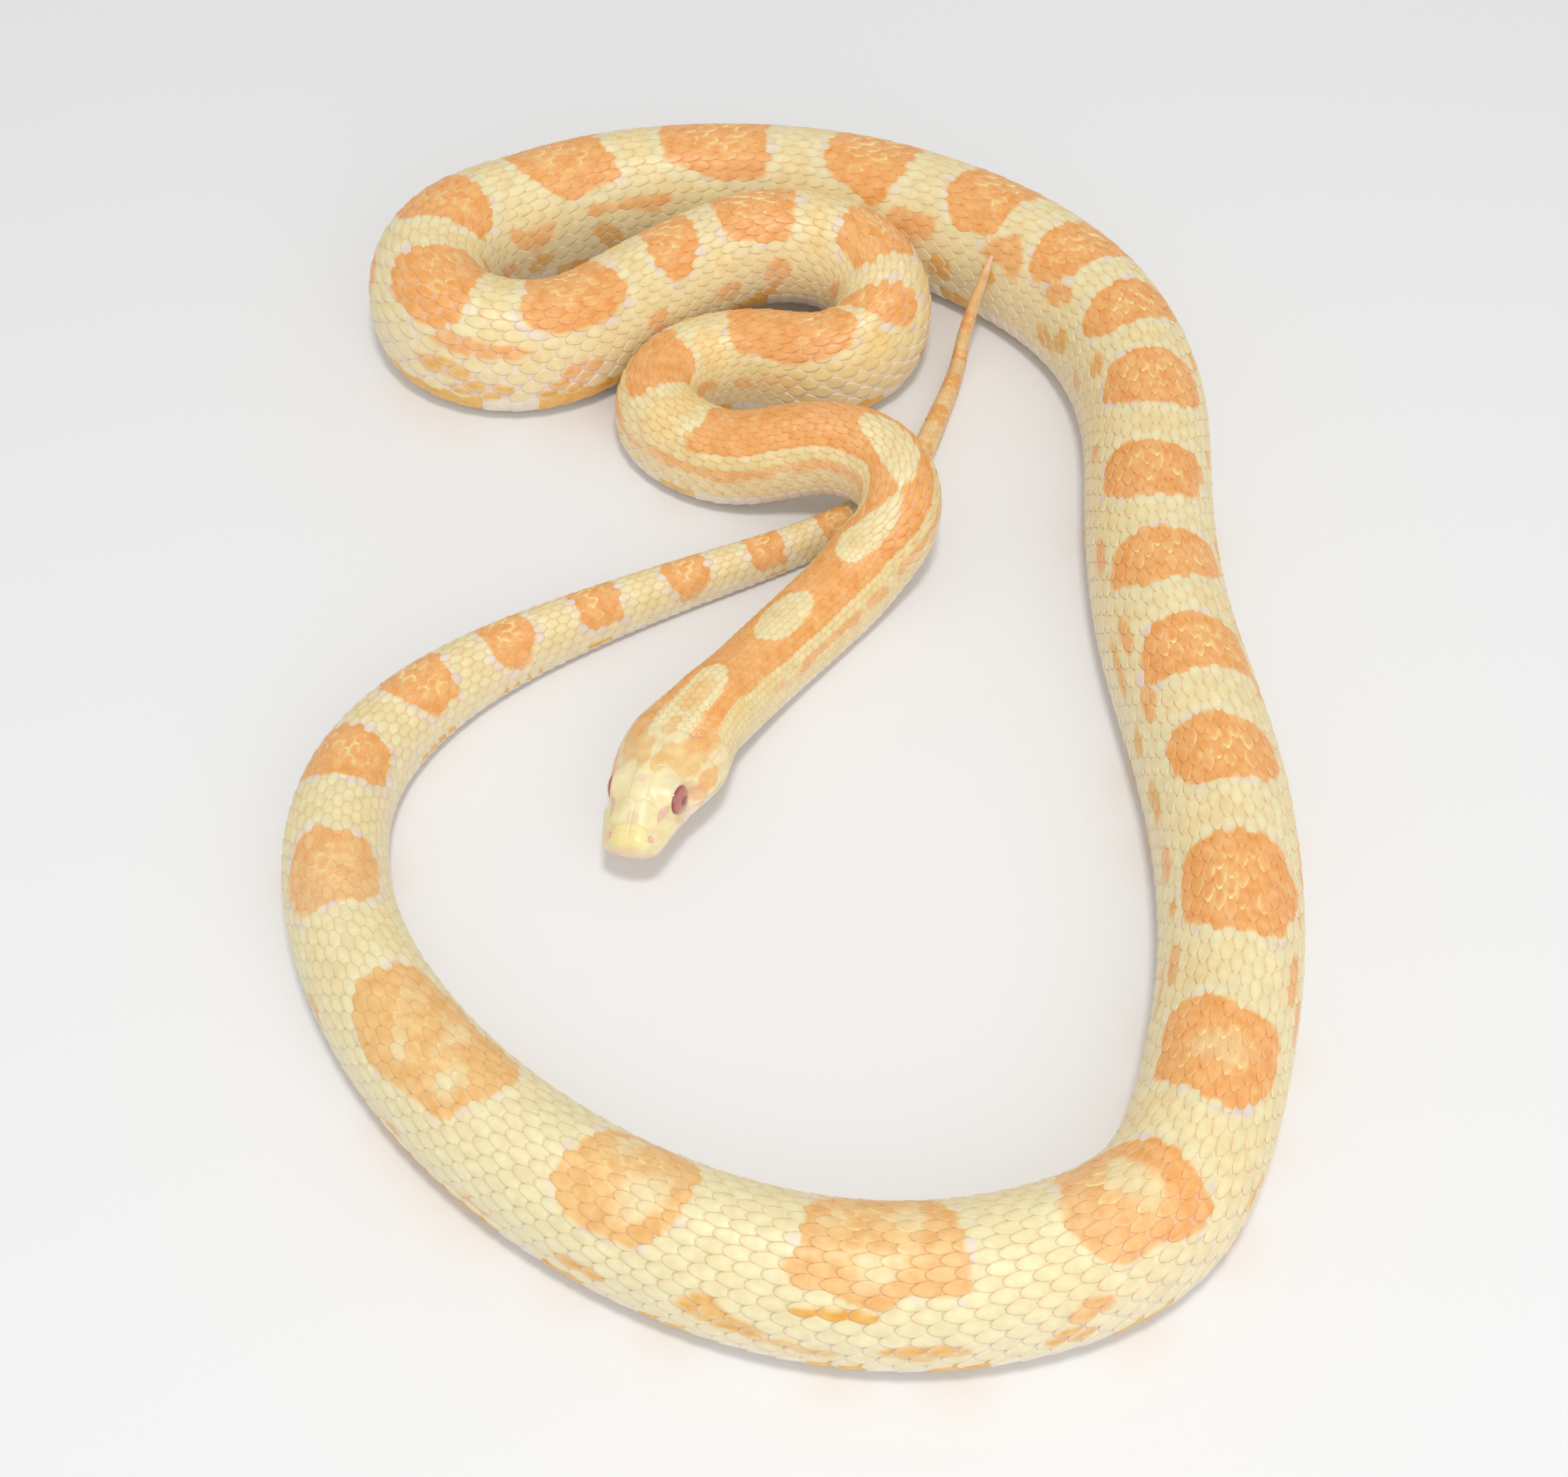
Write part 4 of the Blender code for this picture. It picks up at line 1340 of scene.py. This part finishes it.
def mouth_share(s):
    """Share of the half section at which the mouth line lies, at stations s;
    behind the jaw it drifts down to the edge of the belly plates."""
    at = np.clip(s, 0.05, JAW_BACK - 0.1)
    x, z = half_sections(at)
    run = run_round(x, z)
    lip = lip_level(at, held(HEAD_WIDEST_LEVEL, at))
    first = np.argmax(z <= lip[:, None] + 1e-6, axis=1)
    share = run[np.arange(len(at)), first - 1] / run[:, -1]
    return share + (FLANK_EDGE - share) * ease(s, JAW_BACK, 40)


HEAD_S = np.r_[nose_stations(np.linspace(0.06, 0.84, 34)), np.arange(1.32, COAT_END, HEAD_STEP)]
PORTION = np.r_[np.linspace(0, 1, HEAD_UPPER), np.linspace(1, 2, HEAD_LOWER)[1:]]
PORTION = np.r_[-PORTION[:0:-1], PORTION]
HEAD_MOUTH = mouth_share(HEAD_S)
UPPER_PART = np.clip(np.abs(PORTION), 0, 1) * HEAD_MOUTH[:, None]
LOWER_PART = np.clip(np.abs(PORTION) - 1, 0, 1) * (1 - HEAD_MOUTH[:, None])
HEAD_U = np.sign(PORTION) * (UPPER_PART + LOWER_PART)
HEAD_P, HEAD_TOTAL = surface(HEAD_S, HEAD_U)
HEAD_RUN = run_along(HEAD_P[:, len(PORTION) // 2])
UPPER_ARC = HEAD_MOUTH * HEAD_TOTAL
LOWER_ARC = (1 - HEAD_MOUTH) * HEAD_TOTAL
print("head map", HEAD_P.shape, "mouth share", HEAD_MOUTH[40:200:40].round(3))

# %% [markdown]
# The head wears large smooth plates instead of small scales: nine on the crown,
# eight along each side of the upper lip and nine below it, and a few round the
# nostril and the eye. They are kept as polygons on one half of the unrolled
# head, since both halves are alike. The throat's lozenges are worked out in rows.

# %% Plates of the head
# Corners as (station, portion): 0 is the middle of the crown, 1 the lip.
CROWN_PLATES = (
    ((-1, -1), (-1, 0.72), (1.0, 0.72), (1.5, 0.3), (1.9, -1)),
    ((1.9, 0), (1.5, 0.3), (2.4, 0.46), (4.6, 0.36), (4.9, 0)),
    ((4.9, 0), (4.6, 0.36), (5.6, 0.54), (9.2, 0.46), (9.9, 0.16), (9.1, 0)),
    ((9.1, -1), (9.1, 0), (9.9, 0.16), (16.6, 0.14), (18.6, 0), (18.6, -1)),
    ((9.9, 0.16), (9.2, 0.46), (10.9, 0.53), (14, 0.5), (17.0, 0.53), (17.7, 0.34), (16.6, 0.14)),
    ((18.6, 0), (16.6, 0.14), (17.7, 0.34), (20, 0.42), (23.6, 0.37), (25.6, 0.16), (25.0, 0)),
)
SIDE_PLATES = (
    ((1.0, 0.5), (2.4, 0.46), (4.6, 0.36), (5.6, 0.54), (5.4, 0.80), (1.2, 0.80)),
    ((5.6, 0.54), (9.2, 0.46), (9.0, 0.78), (5.4, 0.80)),
    ((9.2, 0.46), (10.9, 0.53), (11.0, 0.86), (9.0, 0.80)),
    ((17.0, 0.53), (17.7, 0.34), (20, 0.42), (19.6, 0.60), (17.6, 0.68)),
    ((17.6, 0.68), (19.6, 0.60), (20.0, 0.80), (17.0, 0.86)),
    ((20, 0.42), (23.4, 0.39), (23.8, 0.58), (19.6, 0.60)),
    ((19.6, 0.60), (23.8, 0.58), (24.2, 0.78), (20.0, 0.80)),
    ((23.4, 0.39), (24.6, 0.34), (27.6, 0.44), (26.6, 0.52), (23.8, 0.53)),
    ((23.8, 0.53), (26.6, 0.52), (27.4, 0.66), (24.0, 0.67)),
    ((24.0, 0.67), (27.4, 0.66), (27.8, 0.8), (24.2, 0.79)),
    ((26.6, 0.52), (27.6, 0.44), (30.6, 0.5), (28.6, 0.64), (27.4, 0.66)),
    ((27.4, 0.66), (28.6, 0.64), (30.6, 0.74), (27.8, 0.8)),
)
LIP_STATIONS = (0.9, 3.4, 6.2, 9.2, 12.2, 15.6, 19.2, 23.2, 27.4)
LIP_TOPS = (0.80, 0.80, 0.80, 0.86, 0.90, 0.86, 0.80, 0.78, 0.80)
JAW_STATIONS = (2.2, 4.0, 6.2, 8.8, 11.6, 14.6, 17.8, 21.0, 24.2, 27.4)
CHIN_PLATES = (
    ((1.0, -9), (1.0, 1.62), (2.2, 1.42), (3.8, 1.9), (3.8, 9)),
    ((3.6, 2), (3.6, 1.75), (4.4, 1.42), (10.4, 1.42), (11.2, 1.7), (11.0, 2)),
    ((11.0, 2), (11.2, 1.7), (10.6, 1.44), (16.6, 1.44), (17.6, 1.8), (17.0, 2)),
)
THROAT_START, THROAT_STEP = 9.0, 2.6
THROAT_ROWS = (11, 13.2, 15.4, 17.6, 17)
LOZENGE = (1.75, 0.12)


def lip_plates():
    """Quads along both lips, between neighbouring stations."""
    upper = [((a, 1.02), (a, p), (b, q), (b, 1.02)) for a, b, p, q in
             zip(LIP_STATIONS, LIP_STATIONS[1:], LIP_TOPS, LIP_TOPS[1:])]
    lower = [((a, 0.98), (b, 0.98), (b + 0.3, 1.40), (a + 0.3, 1.40)) for a, b in
             zip(JAW_STATIONS, JAW_STATIONS[1:])]
    return tuple(upper + lower)


def throat_plates():
    """Lozenges behind and beside the chin plates, in rows that begin at the
    stations of THROAT_ROWS, each second row moved by half a step."""
    plates, (long, wide) = [], LOZENGE
    for i in range(9):
        for j, first in enumerate(THROAT_ROWS):
            s, p = THROAT_START + THROAT_STEP * (i + 0.5 * (j % 2)), 1.50 + 0.125 * j
            if s > first:
                plates.append(((s - long, p), (s, p + wide), (s + long, p), (s, p - wide)))
    return tuple(plates)


ALL_PLATES = CROWN_PLATES + SIDE_PLATES + lip_plates() + CHIN_PLATES + throat_plates()
print(len(ALL_PLATES), "plates on the half head")

# %% [markdown]
# Where two plates meet there is a fine seam. To cut it, each point of the grid
# needs its distance to the nearest side of the plate that it lies on. The chart
# gives the point's place in mm on the unrolled head, and the distance inside a
# polygon is the least of its distances to the sides.

# %% Seams between the plates
def to_chart(station, portion):
    """Corner in mm on the unrolled head: along the crown, and round from it."""
    along = np.interp(station, HEAD_S, HEAD_RUN)
    upper = np.interp(station, HEAD_S, UPPER_ARC)
    lower = np.interp(station, HEAD_S, LOWER_ARC)
    round_it = np.where(portion <= 1, portion * upper, upper + (portion - 1) * lower)
    return along, round_it


def inside_distance(x, y, corners):
    """Distance in mm to the nearest side of a convex polygon, positive inside:
    the least of (P - A) . n over its sides, with n pointing inwards."""
    points = np.array(corners, dtype=float)
    along, around = to_chart(points[:, 0], points[:, 1])
    along = along + np.minimum(points[:, 0], 0)
    best = np.full(x.shape, 99.0)
    for k in range(len(points)):
        ax, ay = along[k], around[k]
        dx, dy = along[k - 1] - ax, around[k - 1] - ay
        length = max(np.hypot(dx, dy), 1e-6)
        nx, ny = -dy / length, dx / length
        if (along.mean() - ax) * nx + (around.mean() - ay) * ny < 0:
            nx, ny = -nx, -ny
        best = np.minimum(best, (x - ax) * nx + (y - ay) * ny)
    return best


def find_plates(x, y):
    """Number of the plate at each point of the chart, and the distance to its
    side, 0 outside every plate."""
    seam, which = np.full(x.shape, -BEYOND), np.zeros(x.shape, dtype=int)
    for number, corners in enumerate(ALL_PLATES):
        distance = inside_distance(x, y, corners)
        which = np.where(distance > seam, number, which)
        seam = np.maximum(seam, distance)
    return which, np.maximum(seam, 0)


CHART_X, CHART_Y = to_chart(HEAD_S[:, None] + 0 * PORTION, np.abs(PORTION) + 0 * HEAD_S[:, None])
PLATE_NUMBER, SEAM = find_plates(CHART_X, CHART_Y)
print("deepest point of a plate", round(SEAM.max(), 2), "mm from its side")

# %% [markdown]
# The smooth head is then worked like clay. Every tool is a bell curve of some
# distance: thin seams, plates that swell a little, a nostril with a raised lip,
# a hollow in front of the eye, the sockets, and at last the mouth. Behind, the
# coat is tucked under the first scales.

# %% Outside of the head
SEAM_DEPTH, SEAM_WIDTH = 0.075, 0.18
SWELL, SWELL_WIDTH = 0.05, 0.8
# Station, half length, share round the head, half width.
NOSTRIL = (3.1, 0.55, 0.315, 0.030)
HOLLOW = (8.2, 2.6, 0.37, 0.05)
NOSTRIL_DEPTH, NOSTRIL_LIP, HOLLOW_DEPTH = 0.55, 0.07, 0.16
MOUTH_DEPTH, MOUTH_WIDTH, MOUTH_SPAN = 0.34, 0.22, (0.8, 2.0, 25.8, 27.2)
TUCK_DEPTH, TUCK_LENGTH = COAT_DEPTH + 0.15, 1.0


def bell(distance):
    """exp(-d^2): 1 at no distance, nearly 0 beyond two."""
    return np.exp(-distance ** 2)


def oval_distance(station, share, oval):
    """Distance to the middle of an oval, 1 on its outline: the hypotenuse of
    ds / long and du / wide."""
    middle, long, place, wide = oval
    return np.hypot((station - middle) / long, (share - place) / wide)


def head_surface():
    """Outside of the head's coat: the smooth head with seams, the mouth, the
    nostrils, the hollows and the sockets worked in. Also the eye distance."""
    normal, _ = outward(HEAD_P, HEAD_RUN, np.arange(len(PORTION)))
    share, station = np.abs(HEAD_U), HEAD_S[:, None]
    lip = CHART_Y - UPPER_ARC[:, None]
    lift = SWELL * (1 - np.exp(-SEAM / SWELL_WIDTH)) - SEAM_DEPTH * bell(SEAM / SEAM_WIDTH)
    lift = lift * np.where(lip > 0, ease(station, 1.6, 2.6), 1)
    nostril = oval_distance(station, share, NOSTRIL)
    lift = lift - NOSTRIL_DEPTH * bell(nostril) + NOSTRIL_LIP * bell((nostril - 1.9) / 0.6)
    lift = lift - HOLLOW_DEPTH * bell(oval_distance(station, share, HOLLOW)) * (lip < 0)
    edge = coat_edge(share)
    tuck = ease(station, edge, edge + TUCK_LENGTH)
    lift = lift * (1 - tuck) - TUCK_DEPTH * tuck
    points = HEAD_P + lift[..., None] * normal
    points, left = press_socket(points, 1)
    points, right = press_socket(points, -1)
    groove = MOUTH_DEPTH * bell(lip / MOUTH_WIDTH) * within(station, MOUTH_SPAN)
    return points - groove[..., None] * normal, np.minimum(left, right)


HEAD_OUT, EYE_NEAR = head_surface()
print("head coat moved by up to", round(float(np.abs(HEAD_OUT - HEAD_P).max()), 2), "mm")

# %% [markdown]
# The plates of the head are glossier than the scales and a little clearer, so
# the flesh glows pink at the lips and round the eyes. The seams are darker by a
# touch only. Fine noise in the roughness breaks up the gleam.

# %% Finish of the head
PINK = (0.80, 0.44, 0.40, 1)
YELLOW = (0.900, 0.760, 0.240, 1)
GROOVE = (0.78, 0.52, 0.34, 1)


def head_finish():
    """Head plates: the pattern, then YELLOW, PINK and GROOVE by their masks,
    and PINK once more on the rim about the eye."""
    material, tree, shader = new_finish("head_horn", 0.34, 0.25, 0.15)
    colour = pattern_colour(tree)
    for mask, share, pigment in (("yellow", 1.0, YELLOW), ("pink", 1.0, PINK),
                                 ("edge", 0.2, GROOVE), ("near_eye", 0.25, PINK)):
        colour = add_mix(tree, times(tree, attribute(tree, mask), share), colour, pigment)
    tree.links.new(colour, shader.inputs["Base Color"])
    fine = add_noise(tree, 2200.0, 2.0)
    tree.links.new(line(tree, fine, 0.25, 0.22), shader.inputs["Roughness"])
    add_bump(tree, shader, fine, 0.1, 0.0002)
    return material


HEAD_HORN = head_finish()
print("finish", HEAD_HORN.name)

# %% [markdown]
# The grid is joined along the chin and closed at the tip of the snout with a
# fan of quads. Behind, it stays open, because its edge is sunk into the skin.
# Each plate gets a tone of its own.

# %% Coat of the head
def build_head_coat():
    """One grid from the snout to the neck, closed round the chin and the snout."""
    rows, columns = HEAD_OUT.shape[:2]
    around = columns - 1
    i, j = grid_quads(rows, columns)
    cap = fan(rows * around, 0, around, -1)
    faces = np.concatenate((i * around + j % around, cap))
    cap_uv = np.broadcast_to(unwrap(0.0, 0.0, 0), cap.shape + (2,))
    uv = np.concatenate((unwrap(HEAD_S[i], HEAD_U[i, j], np.zeros((1, 1))), cap_uv))
    fields = head_marks(np.repeat(HEAD_S, around), HEAD_U[:, :-1].ravel())
    tone = np.random.default_rng(12).normal(0.5, 0.05, len(ALL_PLATES) + 1)
    rim = 1 - ease(EYE_NEAR[:, :-1], EYE_RADIUS + 0.1, EYE_RADIUS + 0.7)
    fields["tone"] = tone[PLATE_NUMBER[:, :-1].ravel()]
    fields["edge"] = bell(SEAM[:, :-1] / 0.25).ravel()
    fields["near_eye"] = rim.ravel()
    fields = {key: np.r_[value, value[0]] for key, value in fields.items()}
    tip = HEAD_OUT[:1, :-1].mean(axis=1)
    points = np.concatenate((HEAD_OUT[:, :-1].reshape(-1, 3), tip))
    make_piece("head_plates", (points, faces, fields, uv), HEAD_HORN)


build_head_coat()

# %% [markdown]
# Without dark pigment the blood shows through the eye: a deep red pupil in a
# pinkish iris with fine rays. Over it lies the clear scale that all snakes have
# for an eyelid, which is made with the shader's own clear coat, so that the
# lights are mirrored sharply in it.

# %% Finish of the eyes
IRIS = (0.42, 0.115, 0.10, 1)
IRIS_LIGHT = (0.62, 0.26, 0.22, 1)
PUPIL = (0.24, 0.012, 0.015, 1)


def eye_finish():
    """IRIS with rays of noise, round a PUPIL that ends softly about 0.3 of the
    way out, and dark again at the rim."""
    material, tree, shader = new_finish("eye", 0.12, 1.0)
    shader.inputs["Coat Roughness"].default_value = 0.02
    out = attribute(tree, "from_pupil")
    iris = add_mix(tree, add_noise(tree, 2600.0, 4.0), IRIS, IRIS_LIGHT)
    edge = add_math(tree, "SMOOTH_MAX", line(tree, out, 6.0, -1.7), 0.0, 0.1)
    colour = add_mix(tree, edge, PUPIL, iris)
    colour = add_mix(tree, line(tree, out, 4.0, -3.2), colour, PUPIL)
    tree.links.new(colour, shader.inputs["Base Color"])
    return material


EYE_WET = eye_finish()
print("finish", EYE_WET.name)

# %% [markdown]
# The eyeball is a ball pressed a little flat, so that it bulges from its socket
# without standing out like a bead. Its poles lie on the eye's axis, where the
# rings of faces run round the pupil.

# %% The eyes
EYE_RINGS, EYE_AROUND = 40, 64
EYE_THICKNESS = 1.75


def build_eye(name, side, replaced):
    """Ball flattened along its axis: middle + R sin(t) (cos(f) a + sin(f) b) +
    D cos(t) axis, with t from the front 0 to the back pi."""
    middle, axis, a, b = eye_frame(side)
    t = np.linspace(0.03, np.pi - 0.03, EYE_RINGS)[:, None, None]
    f = np.linspace(0, 2 * np.pi, EYE_AROUND + 1)[None, :, None]
    ball = np.sin(t) * (np.cos(f) * a + np.sin(f) * b) * (EYE_RADIUS + 0.12)
    ball = ball + EYE_THICKNESS * np.cos(t) * axis
    i, j = grid_quads(EYE_RINGS, EYE_AROUND + 1)
    faces = (i * EYE_AROUND + j % EYE_AROUND)[:, ::-1]
    count = EYE_RINGS * EYE_AROUND
    front = fan(count, 0, EYE_AROUND, 1)
    back = fan(count + 1, count - EYE_AROUND, EYE_AROUND, 1)[:, ::-1]
    faces = np.concatenate((faces, front, back))
    poles = ball[[0, -1], :-1].mean(axis=1)
    ball = np.concatenate((ball[:, :-1].reshape(-1, 3), poles))
    ahead = ball @ axis
    radius = np.linalg.norm(ball - ahead[:, None] * axis, axis=1)
    fields = {"from_pupil": np.where(ahead < 0, 1.0, radius / EYE_RADIUS)}
    uv = 0.5 + 0.225 * np.stack((ball @ a, ball @ b), -1)[faces] / EYE_RADIUS
    points = ball + middle - EYE_SINK * axis
    make_piece(name, (points, faces, fields, uv), EYE_WET, replaced)


build_eye("eyeball_left", 1, ["eye_left"])
build_eye("eyeball_right", -1, ["eye_right"])
